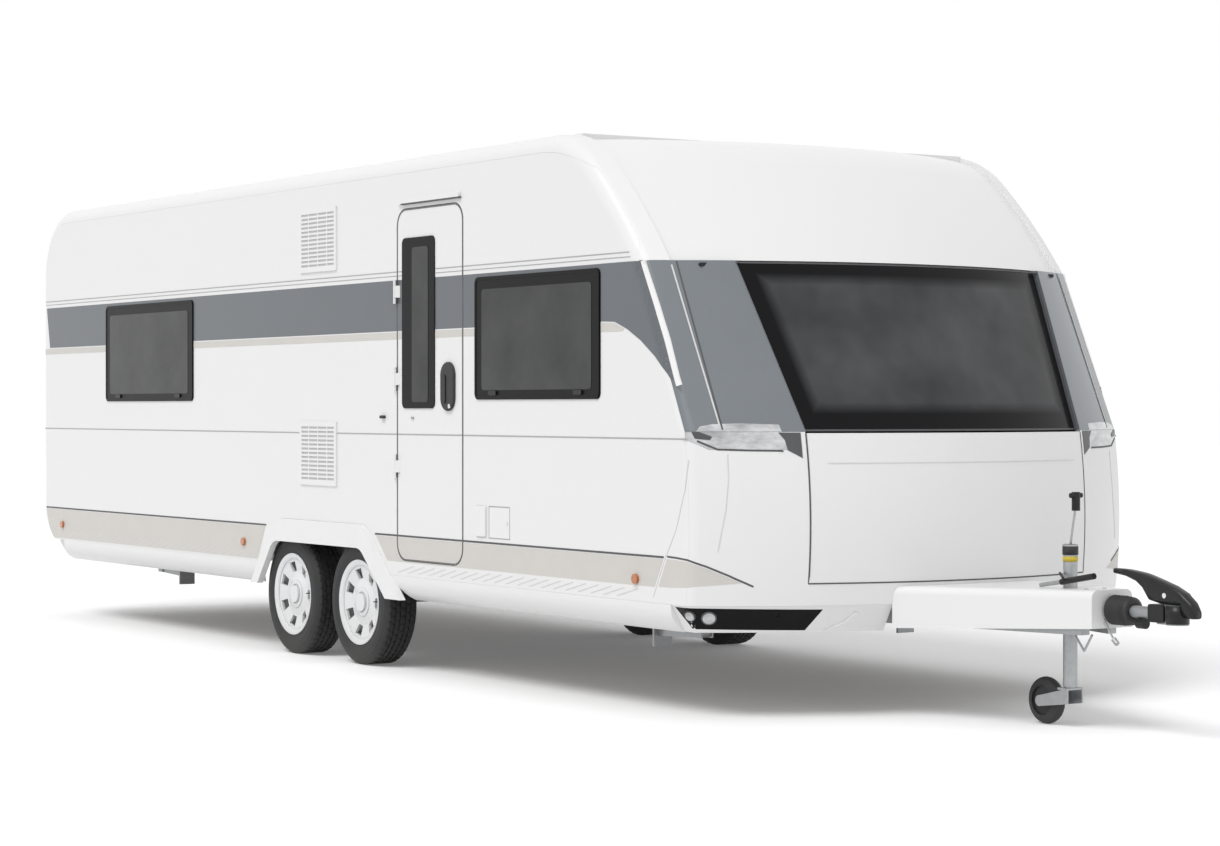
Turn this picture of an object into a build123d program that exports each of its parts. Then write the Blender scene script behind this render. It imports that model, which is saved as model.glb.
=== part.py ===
from build123d import *
import math
import os

os.makedirs("parts", exist_ok=True)

# A twin-axle touring caravan parked on its wheels and jockey wheel.
# Millimetres. +X points forward to the coupling, +Y to the left, +Z up, z = 0 is the ground.
# The origin is on the ground, under the middle of the whole outline.
# Right is the side with the entrance door. Distances named *_at run forward from the rear wall.

# Overall sizes
body_length = 7925
body_half_width = 1235
roof_z = 2600
side_bottom_z = 490
bumper_reach = 34
nose_to_coupling = 1370
total_length = bumper_reach + body_length + nose_to_coupling
wall_x = bumper_reach - total_length / 2

# Walls and gaps
wall = 30
panel_gap = 0.6
shut_gap = 5
seat_gap = 0.3
cut_over = 60

# Rounded form of the body
rear_round = 420
rear_tuck = 220
rear_tuck_z = 880
tuck_lead = 6
edge_round = 80
front_plan_radius = 2100
roof_end_at = 6700
cap_break_at = 7070
cap_break_z = 2465
brow_at = 7530
brow_z = 1985
sill_at = 7890
sill_z = 1235
nose_z = 870
nose_foot_at = 7900
nose_back_at = 5400
box_end_at = 6000

# Where the outer panels meet
roof_seam_drop = 82
rear_seam = 46
front_seam_setback = 12
trim_band = 115
cap_seam_at = 6480
centre_recess = 20
screen_recess = 26
screen_top_half = 868
screen_foot_half = 778
lid_half = 778
lid_foot_z = 588
lid_top_z = 1229
lid_seat_height = 24
lid_seat_depth = 14
bulkhead_at = 7150
bulkhead_thickness = 15
shelf_z = 1252

# Floor and wheel boxes
floor_thickness = 40
wheel_box_rear_at = 3262
wheel_box_front_at = 4806
wheel_box_depth = 232
wheel_box_height = 230
wheel_box_wall = 10

# Entrance door
door_at = 4897
door_width = 670
door_foot_z = 571
door_height = 1764
door_corner = 85
door_stop_width = 16
door_stop_depth = 10
door_hinge_reach = 14
hinge_radius = 8
hinge_barrel = 60
hinge_count = 3
door_window_at = 58
door_window_width = 335
door_window_foot = 764
door_window_height = 855
window_proud = 6
window_depth = 24
window_corner = 30
handle_at = 467
handle_width = 132
handle_foot = 751
handle_height = 240
handle_proud = 16
awning_lamp_width = 630
awning_lamp_height = 30
awning_lamp_depth = 22
awning_lamp_rise = 20

# Windows: distance of the rear edge, width, sill and height
window_sill_z = 1377
window_height = 588
bed_window_at = 1090
bed_window_width = 1310
lounge_window_at = 5690
lounge_window_width = 1127
kitchen_window_at = 3420
kitchen_window_width = 950
washroom_window_at = 2760
washroom_window_width = 420
washroom_window_height = 330
rear_window_half = 520

# Vents and flaps
vent_at = 3800
vent_width = 430
vent_height = 342
upper_vent_z = 2060
lower_vent_z = 925
vent_frame = 24
vent_proud = 9
louvre_count = 13
louvre_share = 0.5
flap_at = 5822
flap_width = 190
flap_z = 718
flap_height = 146
flap_thickness = 18

# Wheel arch: outline of the moulding, and how far it stands out
arch_proud = 23
arch_depth = 12
arch_top_z = 735
arch_inner_top_z = 612
arch_rear_at = 3476
arch_front_at = 4555
arch_rear_foot_at = 3215
arch_front_foot_at = 4962
arch_inner_rear_at = 3494
arch_inner_front_at = 4524
arch_inner_rear_foot_at = 3300
arch_inner_front_foot_at = 4800
arch_corner = 150
arch_inner_corner = 110

# Skirts under the side walls
skirt_bottom_z = 368
skirt_thickness = 8
skirt_tuck = 70
skirt_rear_at = 380
skirt_front_at = 7380

# Rear bumper and lamps
bumper_top_z = 1050
bumper_bow_at = 92
bumper_bow_z = 570
bumper_foot_z = 385
bumper_foot_at = 340
bumper_inset = 50
bumper_half = body_half_width - bumper_inset
tail_lamp_width = 150
tail_lamp_height = 140
tail_lamp_z = 872
tail_lamp_inset = 60
tail_lamp_depth = 22
plate_half = 262
plate_height = 120
plate_z = 882
plate_recess = 8

# Marker lamps on the sides
marker_z = 588
marker_radius = 22
marker_depth = 14
marker_rear_at = 363
marker_middle_at = 3085
marker_front_at = 7110

# Front apron, notched for the drawbar arms
apron_foot_z = 372
apron_inset = 4
apron_depth = 14
apron_taper = 29
apron_notch_half = 400

# Head and position lamps at the front corners
headlamp_foot_z = 1120
headlamp_rise_z = 1158
headlamp_tip_z = 1202
headlamp_inner = 800
headlamp_tongue = 60
headlamp_depth = 26

# Roof lights
roof_light_size = 700
roof_light_rise = 40
roof_light_frame = 40
roof_light_curb = 16
front_roof_light_at = 5100
rear_roof_light_at = 1700
roof_light_taper = 20

# Wheels
axle_mid_at = 4029
axle_spacing = 778
tyre_radius = 325
tyre_width = 190
tyre_shoulder = 22
track_inset = 117
track_half = body_half_width - track_inset
rim_radius = 205
rim_lip = 222
rim_width = 150
rim_fit = 0.2
rim_wall = 5
rim_dish = 34
slot_count = 7
slot_root = 118
slot_reach = 52
slot_middle = 150
cover_shoulder = 187
slot_root_width = 42
slot_tip_width = 66
slot_taper = 78
slot_turn = 90
hub_radius = 78
hub_cap_radius = 46
hub_cap_rise = 12
stub_radius = 30
stub_fit = 0.1

# Axles
axle_tube = 100
axle_lead = 150
arm_thickness = 34
arm_height = 70
drum_radius = 150
drum_depth = 30
drum_gap = 8
axle_sides = 6

# Chassis
rail_y = 560
rail_height = 105
rail_width = 46
rail_rear_at = 360
arm_lap = 300
arm_top_z = 470
arm_foot_z = 400
rail_front_at = 6950
drawbar_tip_at = 8720
drawbar_tip_half = 74
housing_rear_at = 8490
housing_half = 95
housing_radius = 40
cross_size = 60

# Drawbar cover
cover_rear_at = 7560
cover_front_at = 8800
cover_rear_half = 500
cover_front_half = 112
cover_rear_top_z = 560
cover_front_top_z = 590
cover_rear_foot_z = 372
cover_front_foot_z = 432
cover_wall = 6
cover_round = 34

# Corner steadies
steady_y = 720
steady_length = 340
steady_width = 50
steady_height = 34
steady_foot = 96
steady_foot_thickness = 14
steady_pivot_z = 310
steady_rear_pivot_at = 800
steady_front_pivot_at = 6880
steady_round = 20
steady_pin = 10
steady_lug = 8

# Jockey wheel on its leg
jockey_at = 8546
jockey_trail = 146
jockey_radius = 100
jockey_width = 62
jockey_tube = 30
jockey_stem = 26
jockey_fit = 0.1
jockey_tube_foot_z = 170
jockey_tube_top_z = 722
jockey_stem_top_z = 560
jockey_cap_height = 44
jockey_cap_radius = 33
crank_radius = 5
crank_top_z = 935
crank_lean = 34
crank_knob_radius = 17
crank_knob_height = 52
fork_thickness = 8
fork_height = 46
fork_gap = 6
jockey_pin = 9
tread_share = 0.7
dish_share = 0.62

# Coupling
bellows_rear_at = 8806
bellows_front_at = 8892
bellows_radius = 62
bellows_root = 50
bellows_folds = 4
bellows_share = 0.5
coupling_z = 508
shaft_radius = 25
ball_at = 9180
ball_radius = 25.4
ball_depth = 46
head_radius = 46
head_foot_z = 468
head_top_z = 548
handle_tail_at = 8823
handle_tail_z = 670
handle_back_z = 643
handle_width_half = 30
handle_thickness = 26
handle_heel_at = 9040
handle_belly_z = 612
handle_nose_z = 535
lever_at = 8440
lever_y = -62
lever_grip = 150
lever_radius = 11


def at(distance):
    """Place along X of a point that lies this far forward of the rear wall."""
    return wall_x + distance


def plan_sag(half, inset=0):
    """How far the curved front falls back at a distance from the middle."""
    radius = front_plan_radius - inset
    return radius - math.sqrt(radius * radius - half * half)


def tuck_solid(grow):
    """What is taken off the rear foot of the body, so that it curves under the floor."""
    with BuildPart() as tuck:
        with BuildSketch(Plane.XZ):
            with BuildLine():
                curve = TangentArc(
                    (at(-tuck_lead), rear_tuck_z), (at(rear_tuck), side_bottom_z), tangent=(0, -1)
                )
                low = side_bottom_z - 2 * cut_over
                Polyline(
                    curve @ 1, (at(rear_tuck), low), (at(-cut_over), low), (at(-cut_over), rear_tuck_z), curve @ 0
                )
            make_face()
            if grow:
                offset(amount=grow, kind=Kind.INTERSECTION, mode=Mode.REPLACE)
        extrude(amount=body_half_width + cut_over, both=True)
    return tuck.part


def body_form(inset, foot_z):
    """The whole closed form of the body, drawn in evenly and reaching down to foot_z."""
    half = body_half_width - inset
    sag = plan_sag(half, inset)
    foot = foot_z - inset
    with BuildPart() as form:
        with BuildSketch(Plane.XZ):
            with BuildLine():
                back = Line((at(0), foot), (at(0), roof_z - rear_round))
                bend = TangentArc(back @ 1, (at(rear_round), roof_z), tangent=back % 1)
                Polyline(bend @ 1, (at(box_end_at), roof_z), (at(box_end_at), foot), back @ 0)
            make_face()
            if inset:
                offset(amount=-inset, kind=Kind.INTERSECTION, mode=Mode.REPLACE)
        extrude(amount=half, both=True)
        with BuildLine() as front_plan:
            ThreePointArc((-sag, -half), (0, 0), (-sag, half))
        with BuildSketch(Plane.XZ.offset(half)):
            with BuildLine():
                roof = Line((at(nose_back_at) - sag, roof_z), (at(roof_end_at) - sag, roof_z))
                turn = TangentArc(roof @ 1, (at(cap_break_at) - sag, cap_break_z), tangent=roof % 1)
                cap = TangentArc(turn @ 1, (at(brow_at) - sag, brow_z), tangent=turn % 1)
                screen = Line(cap @ 1, (at(sill_at) - sag, sill_z))
                chin = ThreePointArc(
                    screen @ 1, (at(body_length) - sag, nose_z), (at(nose_foot_at) - sag, side_bottom_z)
                )
                Polyline(chin @ 1, (at(nose_foot_at) - sag, foot), (at(nose_back_at) - sag, foot), roof @ 0)
            make_face()
            if inset:
                offset(amount=-inset, kind=Kind.INTERSECTION, mode=Mode.REPLACE)
        sweep(path=front_plan.wires()[0], normal=(0, -1, 0))
        outline = [
            e
            for e in form.edges()
            if e.bounding_box().size.Y < panel_gap
            and abs(e.center().Y) > half - panel_gap
            and e.bounding_box().max.Z > foot_z + panel_gap
        ]
        fillet(outline, radius=edge_round - inset)
        add(tuck_solid(inset), mode=Mode.SUBTRACT)
    return form.part


def side_region(grow):
    """Side view of the flat side wall, as a solid right across the body."""
    setback = plan_sag(body_half_width) + front_seam_setback
    seam_z = roof_z - roof_seam_drop
    low = side_bottom_z - wall
    with BuildPart() as region:
        with BuildSketch(Plane.XZ):
            with BuildLine():
                tuck = TangentArc(
                    (at(rear_seam), rear_tuck_z), (at(rear_seam + rear_tuck), side_bottom_z), tangent=(0, -1)
                )
                rear = Line(tuck @ 0, (at(rear_seam), roof_z - rear_round))
                bend = TangentArc(
                    rear @ 1, (at(rear_seam + rear_round - roof_seam_drop), seam_z), tangent=rear % 1
                )
                roof = Line(bend @ 1, (at(roof_end_at) - setback, seam_z))
                turn = TangentArc(
                    roof @ 1,
                    (at(cap_break_at) - setback, cap_break_z - front_seam_setback),
                    tangent=roof % 1,
                )
                cap = TangentArc(turn @ 1, (at(brow_at) - setback, brow_z), tangent=turn % 1)
                screen = Line(cap @ 1, (at(sill_at) - setback, sill_z))
                chin = ThreePointArc(
                    screen @ 1,
                    (at(body_length) - setback, nose_z),
                    (at(nose_foot_at) - setback, side_bottom_z),
                )
                Polyline(
                    chin @ 1, (at(nose_foot_at) - setback, low), (at(rear_seam + rear_tuck), low), tuck @ 1
                )
            make_face()
            offset(amount=grow, kind=Kind.INTERSECTION, mode=Mode.REPLACE)
        extrude(amount=body_half_width + cut_over, both=True)
    return region.part


def block(x0, x1, y0, y1, z0, z1):
    """A plain block between two corners, kept apart from any builder."""
    with BuildPart() as piece:
        with BuildSketch(Plane.XY.offset(z0)):
            with Locations(((x0 + x1) / 2, (y0 + y1) / 2)):
                Rectangle(x1 - x0, y1 - y0)
        extrude(amount=z1 - z0)
    return piece.part


def side_opening(side, x0, z0, width, height, corner, reach=cut_over):
    """A rounded opening right through one side wall."""
    with BuildPart() as hole:
        with BuildSketch(Plane.XZ.offset(-side * body_half_width)):
            with Locations((x0 + width / 2, z0 + height / 2)):
                RectangleRounded(width, height, corner)
        extrude(amount=reach, both=True)
    return hole.part


def finish(part, name):
    """Name a finished piece and write it out."""
    part.label = name
    export_step(part, f"parts/{name}.step")
    return part


half_gap = panel_gap / 2
outer_form = body_form(0, side_bottom_z)
inner_form = body_form(wall, side_bottom_z - wall)
flat_sides = side_region(-half_gap)
around_sides = side_region(half_gap)
far_x = at(body_length + cut_over)
near_x = at(-cut_over)
far_y = body_half_width + cut_over
far_z = roof_z + cut_over
low_z = side_bottom_z - cut_over
trim_y = body_half_width - trim_band

# Side walls with their openings. Column order: side, distance, width, sill, height, corner
window_head_z = window_sill_z + window_height
right_holes = [
    (bed_window_at, bed_window_width, window_sill_z, window_height, window_corner),
    (lounge_window_at, lounge_window_width, window_sill_z, window_height, window_corner),
]
left_holes = right_holes + [
    (kitchen_window_at, kitchen_window_width, window_sill_z, window_height, window_corner),
    (
        washroom_window_at,
        washroom_window_width,
        window_head_z - washroom_window_height,
        washroom_window_height,
        window_corner,
    ),
]
vent_corner = vent_frame / 4
vent_holes = [(vent_at, vent_width, z, vent_height, vent_corner) for z in (upper_vent_z, lower_vent_z)]
door_hole = (
    door_at - shut_gap,
    door_width + 2 * shut_gap,
    door_foot_z - shut_gap,
    door_height + 2 * shut_gap,
    door_corner + shut_gap,
)
flap_hole = (
    at(flap_at) - shut_gap,
    flap_z - shut_gap,
    flap_width + 2 * shut_gap,
    flap_height + 2 * shut_gap,
    shut_gap,
)


def arch_solid(rear_foot_at, rear_at, top_z, front_at, front_foot_at, corner, grow=0):
    """Side view of one outline of the wheel arch, as a solid right across the body."""
    foot_z = skirt_bottom_z - cut_over
    with BuildPart() as arch:
        with BuildSketch(Plane.XZ) as face:
            with BuildLine():
                Polyline(
                    (at(rear_foot_at), foot_z),
                    (at(rear_foot_at), skirt_bottom_z),
                    (at(rear_at), top_z),
                    (at(front_at), top_z),
                    (at(front_foot_at), skirt_bottom_z),
                    (at(front_foot_at), foot_z),
                    close=True,
                )
            make_face()
            fillet(face.vertices().group_by(Axis.Y)[-1], corner)
            if grow:
                offset(amount=grow, mode=Mode.REPLACE)
        extrude(amount=far_y, both=True)
    return arch.part


arch_outline = (arch_rear_foot_at, arch_rear_at, arch_top_z, arch_front_at, arch_front_foot_at, arch_corner)
arch_outer = arch_solid(*arch_outline)
arch_slot = arch_solid(*arch_outline, panel_gap)
arch_inner = arch_solid(
    arch_inner_rear_foot_at,
    arch_inner_rear_at,
    arch_inner_top_z,
    arch_inner_front_at,
    arch_inner_front_foot_at,
    arch_inner_corner,
)

with BuildPart() as wall_blank:
    add(outer_form)
    add(block(near_x, far_x, -far_y, -body_half_width + wall, low_z, far_z), mode=Mode.INTERSECT)
    add(flat_sides, mode=Mode.INTERSECT)

walls = (
    ("right", right_holes + vent_holes + [door_hole]),
    ("left", left_holes),
)
for side_name, holes in walls:
    with BuildPart() as side_wall:
        add(wall_blank.part)
        for distance, width, sill, height, corner in holes:
            add(side_opening(-1, at(distance), sill, width, height, corner), mode=Mode.SUBTRACT)
        add(arch_slot, mode=Mode.SUBTRACT)
        if side_name == "right":
            add(side_opening(-1, *flap_hole, flap_thickness + seat_gap), mode=Mode.SUBTRACT)
    if side_name == "right":
        finish(side_wall.part, "side_wall_right")
    else:
        finish(mirror(side_wall.part, about=Plane.XZ), "side_wall_left")

# Edge trims: the rounded band from the rear corner over the roof edge and down the front corner
centre_form = body_form(centre_recess, side_bottom_z - wall)
centre_inner = body_form(centre_recess + wall, side_bottom_z - wall)
wall_slot = around_sides.intersect(
    block(near_x, far_x, -far_y, -body_half_width + wall + half_gap, low_z, far_z)
)
with BuildPart() as edge_trim:
    add(outer_form)
    add(block(near_x, far_x, -far_y, -trim_y, low_z, far_z), mode=Mode.INTERSECT)
    add(inner_form, mode=Mode.SUBTRACT)
    add(wall_slot, mode=Mode.SUBTRACT)
    add(block(at(box_end_at), far_x, -far_y, 0, low_z, brow_z + half_gap), mode=Mode.SUBTRACT)
finish(edge_trim.part, "edge_trim_right")
finish(mirror(edge_trim.part, about=Plane.XZ), "edge_trim_left")

# Rear wall: the middle of the rear, from the lower edge over the rear bend of the roof
middle_y = trim_y - half_gap
with BuildPart() as rear_wall:
    add(outer_form)
    add(inner_form, mode=Mode.SUBTRACT)
    add(block(near_x, at(rear_round) - half_gap, -middle_y, middle_y, low_z, far_z), mode=Mode.INTERSECT)
    with BuildSketch(Plane.YZ.offset(near_x)):
        with Locations((0, window_sill_z + window_height / 2)):
            RectangleRounded(2 * rear_window_half, window_height, window_corner)
    extrude(amount=rear_round, mode=Mode.SUBTRACT)
finish(rear_wall.part, "rear_wall")

# Roof panel with the openings and curbs of the two roof lights
light_hole = roof_light_size - 2 * roof_light_frame
roof_lights = (
    ("front", front_roof_light_at),
    ("rear", rear_roof_light_at),
)
with BuildPart() as roof_panel:
    add(block(at(rear_round) + half_gap, at(cap_seam_at) - half_gap, -middle_y, middle_y, roof_z - wall, roof_z))
    for name, distance in roof_lights:
        with BuildSketch(Plane.XY.offset(roof_z - wall)):
            with Locations((at(distance), 0)):
                Rectangle(light_hole, light_hole)
        extrude(amount=2 * wall, mode=Mode.SUBTRACT)
        with BuildSketch(Plane.XY.offset(roof_z)):
            with Locations((at(distance), 0)):
                Rectangle(roof_light_size, roof_light_size)
                Rectangle(light_hole, light_hole, mode=Mode.SUBTRACT)
        extrude(amount=roof_light_curb - seat_gap)
finish(roof_panel.part, "roof_panel")

# Front roof cap between the trims, a little lower than they are
with BuildPart() as front_roof_cap:
    add(centre_form)
    add(centre_inner, mode=Mode.SUBTRACT)
    add(
        block(at(cap_seam_at) + half_gap, far_x, -middle_y, middle_y, brow_z + half_gap, far_z),
        mode=Mode.INTERSECT,
    )
finish(front_roof_cap.part, "front_roof_cap")


def screen_region(grow):
    """Front view of the windscreen, as a solid through the front."""
    with BuildPart() as region:
        with BuildSketch(Plane.YZ.offset(at(box_end_at))):
            with BuildLine():
                Polyline(
                    (-screen_foot_half - grow, sill_z - grow),
                    (screen_foot_half + grow, sill_z - grow),
                    (screen_top_half + grow, brow_z + grow),
                    (-screen_top_half - grow, brow_z + grow),
                    close=True,
                )
            make_face()
        extrude(amount=body_length)
    return region.part


# Front window between the grey corner plates
screen_form = body_form(screen_recess, side_bottom_z - wall)
screen_inner = body_form(screen_recess + wall, side_bottom_z - wall)
with BuildPart() as windscreen:
    add(screen_form)
    add(screen_inner, mode=Mode.SUBTRACT)
    add(screen_region(-half_gap), mode=Mode.INTERSECT)
finish(windscreen.part, "windscreen")

# Corner plates beside the front window
with BuildPart() as corner_plate:
    add(outer_form)
    add(inner_form, mode=Mode.SUBTRACT)
    add(
        block(at(box_end_at), far_x, -far_y, 0, sill_z + half_gap, brow_z - half_gap),
        mode=Mode.INTERSECT,
    )
    add(screen_region(half_gap), mode=Mode.SUBTRACT)
    add(wall_slot, mode=Mode.SUBTRACT)
finish(corner_plate.part, "corner_plate_right")
finish(mirror(corner_plate.part, about=Plane.XZ), "corner_plate_left")


def front_shell(inset, depth, foot_z):
    """A skin of the front, between two evenly drawn in forms."""
    with BuildPart() as skin:
        add(body_form(inset, foot_z))
        add(body_form(inset + depth, foot_z), mode=Mode.SUBTRACT)
    return skin.part


def lamp_region(grow):
    """Front outline of both head lamps, swept up from a tongue beside the lid, run right through the front."""
    tongue_end = headlamp_inner + headlamp_tongue
    with BuildPart() as region:
        with BuildSketch(Plane.YZ.offset(at(box_end_at))):
            for side in (-1, 1):
                with BuildLine():
                    Polyline(
                        (side * (headlamp_inner - grow), sill_z + wall),
                        (side * (headlamp_inner - grow), headlamp_foot_z - grow),
                        (side * tongue_end, headlamp_rise_z - grow),
                        (side * (body_half_width - edge_round), headlamp_rise_z - grow),
                        (side * body_half_width, headlamp_tip_z - grow),
                        (side * far_y, headlamp_tip_z - grow),
                        (side * far_y, sill_z + wall),
                        close=True,
                    )
                make_face()
        extrude(amount=body_length)
    return region.part


# Nose panel round the locker lid, with the ledge that the lid closes on
low_foot = side_bottom_z - wall
with BuildPart() as nose_panel:
    add(outer_form)
    add(inner_form, mode=Mode.SUBTRACT)
    add(block(at(box_end_at), far_x, -far_y, far_y, low_z, sill_z - half_gap), mode=Mode.INTERSECT)
    add(wall_slot, mode=Mode.SUBTRACT)
    add(mirror(wall_slot, about=Plane.XZ, mode=Mode.PRIVATE), mode=Mode.SUBTRACT)
    add(
        block(
            at(box_end_at),
            far_x,
            -lid_half - shut_gap,
            lid_half + shut_gap,
            lid_foot_z - shut_gap,
            sill_z + wall,
        ),
        mode=Mode.SUBTRACT,
    )
    add(lamp_region(half_gap), mode=Mode.SUBTRACT)
finish(nose_panel.part, "nose_panel")

# Ledge behind the foot of the lid, and the bulkhead and the shelf that close the locker
locker_floor_z = side_bottom_z + wall + floor_thickness + seat_gap
with BuildPart() as plates:
    add(block(at(bulkhead_at), at(bulkhead_at + bulkhead_thickness), -far_y, far_y, locker_floor_z, shelf_z))
    add(
        block(
            at(bulkhead_at + bulkhead_thickness) + seat_gap,
            far_x,
            -far_y,
            far_y,
            shelf_z - bulkhead_thickness,
            shelf_z,
        )
    )
with BuildPart() as locker_lining:
    add(body_form(screen_recess + wall + seat_gap, low_foot))
    add(plates.part, mode=Mode.INTERSECT)
with BuildPart() as lid_ledge:
    add(front_shell(wall + seat_gap, lid_seat_depth, low_foot))
    add(
        block(
            at(box_end_at),
            far_x,
            -lid_half - shut_gap - lid_seat_height,
            lid_half + shut_gap + lid_seat_height,
            locker_floor_z,
            lid_foot_z + lid_seat_height,
        ),
        mode=Mode.INTERSECT,
    )
    add(locker_lining.part)
finish(lid_ledge.part, "locker_lining")

# Locker lid, hinged along its upper edge
with BuildPart() as front_lid:
    add(outer_form)
    add(inner_form, mode=Mode.SUBTRACT)
    add(block(at(box_end_at), far_x, -lid_half, lid_half, lid_foot_z, lid_top_z), mode=Mode.INTERSECT)
finish(front_lid.part, "front_locker_lid")

# Head and position lamps, each in its corner of the nose
with BuildPart() as headlamps:
    add(outer_form)
    add(body_form(headlamp_depth, low_foot), mode=Mode.SUBTRACT)
    add(
        block(at(box_end_at), far_x, -far_y, far_y, headlamp_foot_z, sill_z - half_gap),
        mode=Mode.INTERSECT,
    )
    add(lamp_region(-half_gap), mode=Mode.INTERSECT)
    add(wall_slot, mode=Mode.SUBTRACT)
    add(mirror(wall_slot, about=Plane.XZ, mode=Mode.PRIVATE), mode=Mode.SUBTRACT)
finish(headlamps.part, "headlamps")

# Apron under the nose, wrapped round both corners and drawn in towards its foot
apron_top_z = side_bottom_z - panel_gap
with BuildPart() as front_apron:
    for inset, mode in ((apron_inset, Mode.ADD), (apron_inset + apron_depth, Mode.SUBTRACT)):
        half = body_half_width - inset
        sag = plan_sag(half)
        tip_x = at(nose_foot_at) - inset
        with BuildSketch(Plane.XY.offset(apron_top_z)) as plan:
            with BuildLine():
                Polyline(
                    (tip_x - sag, -half), (at(box_end_at), -half), (at(box_end_at), half), (tip_x - sag, half)
                )
                ThreePointArc((tip_x - sag, half), (tip_x, 0), (tip_x - sag, -half))
            make_face()
            fillet(plan.vertices().group_by(Axis.X)[-1], edge_round - inset)
        extrude(amount=apron_foot_z - apron_top_z, taper=apron_taper, mode=mode)
    add(
        block(near_x, at(skirt_front_at) + panel_gap, -far_y, far_y, apron_foot_z - wall, apron_top_z + wall),
        mode=Mode.SUBTRACT,
    )
    add(
        block(
            at(box_end_at), far_x, -apron_notch_half, apron_notch_half, apron_foot_z - wall, arm_top_z + shut_gap
        ),
        mode=Mode.SUBTRACT,
    )
finish(front_apron.part, "front_apron")

# Floor, cut out over the wheels
floor_z = side_bottom_z + wall
box_y = body_half_width - wall - wheel_box_depth
with BuildPart() as floor_panel:
    add(body_form(wall + seat_gap, low_foot))
    add(block(near_x, far_x, -far_y, far_y, floor_z, floor_z + floor_thickness), mode=Mode.INTERSECT)
    for side in (-1, 1):
        box_ends = sorted((side * box_y, side * far_y))
        add(
            block(at(wheel_box_rear_at), at(wheel_box_front_at), *box_ends, low_z, roof_z),
            mode=Mode.SUBTRACT,
        )
finish(floor_panel.part, "floor_panel")

# Wheel boxes over the tyres, open below and towards the side wall
with BuildPart() as wheel_boxes:
    for side in (-1, 1):
        box_ends = sorted((side * (box_y + seat_gap), side * (body_half_width - wall - seat_gap)))
        hollow_ends = sorted((side * (box_y + seat_gap + wheel_box_wall), side * far_y))
        add(
            block(
                at(wheel_box_rear_at) + seat_gap,
                at(wheel_box_front_at) - seat_gap,
                *box_ends,
                floor_z,
                floor_z + wheel_box_height,
            )
        )
        add(
            block(
                at(wheel_box_rear_at) + seat_gap + wheel_box_wall,
                at(wheel_box_front_at) - seat_gap - wheel_box_wall,
                *hollow_ends,
                floor_z - wall,
                floor_z + wheel_box_height - wheel_box_wall,
            ),
            mode=Mode.SUBTRACT,
        )
finish(wheel_boxes.part, "wheel_boxes")


def side_plate(side, x0, z0, width, height, corner, depth, proud):
    """A rounded plate let into a side wall and standing a little proud of it."""
    with BuildPart() as plate:
        with BuildSketch(Plane.XZ.offset(-side * (body_half_width + proud))):
            with Locations((x0 + width / 2, z0 + height / 2)):
                RectangleRounded(width, height, corner)
        extrude(amount=side * depth)
    return plate.part


# Entrance door: leaf, its window and the handle
door_x = at(door_at)
hinge_x = door_x - shut_gap / 2
hinge_y = -body_half_width - door_hinge_reach
door_glass = (
    door_x + door_window_at,
    door_foot_z + door_window_foot,
    door_window_width,
    door_window_height,
    window_corner,
)
hinge_pitch = door_height / (hinge_count + 1)
hinge_levels = [door_foot_z + hinge_pitch * (index + 1) for index in range(hinge_count)]
with BuildPart() as door_leaf:
    add(side_plate(-1, door_x, door_foot_z, door_width, door_height, door_corner, wall, 0))
    add(side_plate(-1, *door_glass, 2 * wall, wall / 2), mode=Mode.SUBTRACT)
    for level in hinge_levels:
        with BuildSketch(Plane.XY.offset(level)):
            with Locations((hinge_x, hinge_y)):
                Circle(hinge_radius)
            with BuildLine():
                Polyline(
                    (hinge_x, hinge_y - hinge_radius),
                    (door_x + hinge_barrel / 2, -body_half_width - panel_gap),
                    (door_x + hinge_barrel / 2, -body_half_width + wall / 2),
                    (door_x, -body_half_width + wall / 2),
                    (door_x, -body_half_width),
                    (hinge_x, hinge_y + hinge_radius),
                    close=True,
                )
            make_face()
        extrude(amount=hinge_barrel)
finish(door_leaf.part, "door_leaf")

with BuildPart() as door_window:
    add(
        side_plate(
            -1,
            door_glass[0] + seat_gap,
            door_glass[1] + seat_gap,
            door_window_width - 2 * seat_gap,
            door_window_height - 2 * seat_gap,
            window_corner,
            window_depth,
            window_proud,
        )
    )
finish(door_window.part, "door_window")

with BuildPart() as door_handle:
    add(
        side_plate(
            -1,
            door_x + handle_at,
            door_foot_z + handle_foot,
            handle_width,
            handle_height,
            handle_width / 2 - panel_gap,
            handle_proud - seat_gap,
            handle_proud,
        )
    )
    fillet(door_handle.faces().sort_by(Axis.Y)[0].edges(), handle_proud / 2)
finish(door_handle.part, "door_handle")

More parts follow.
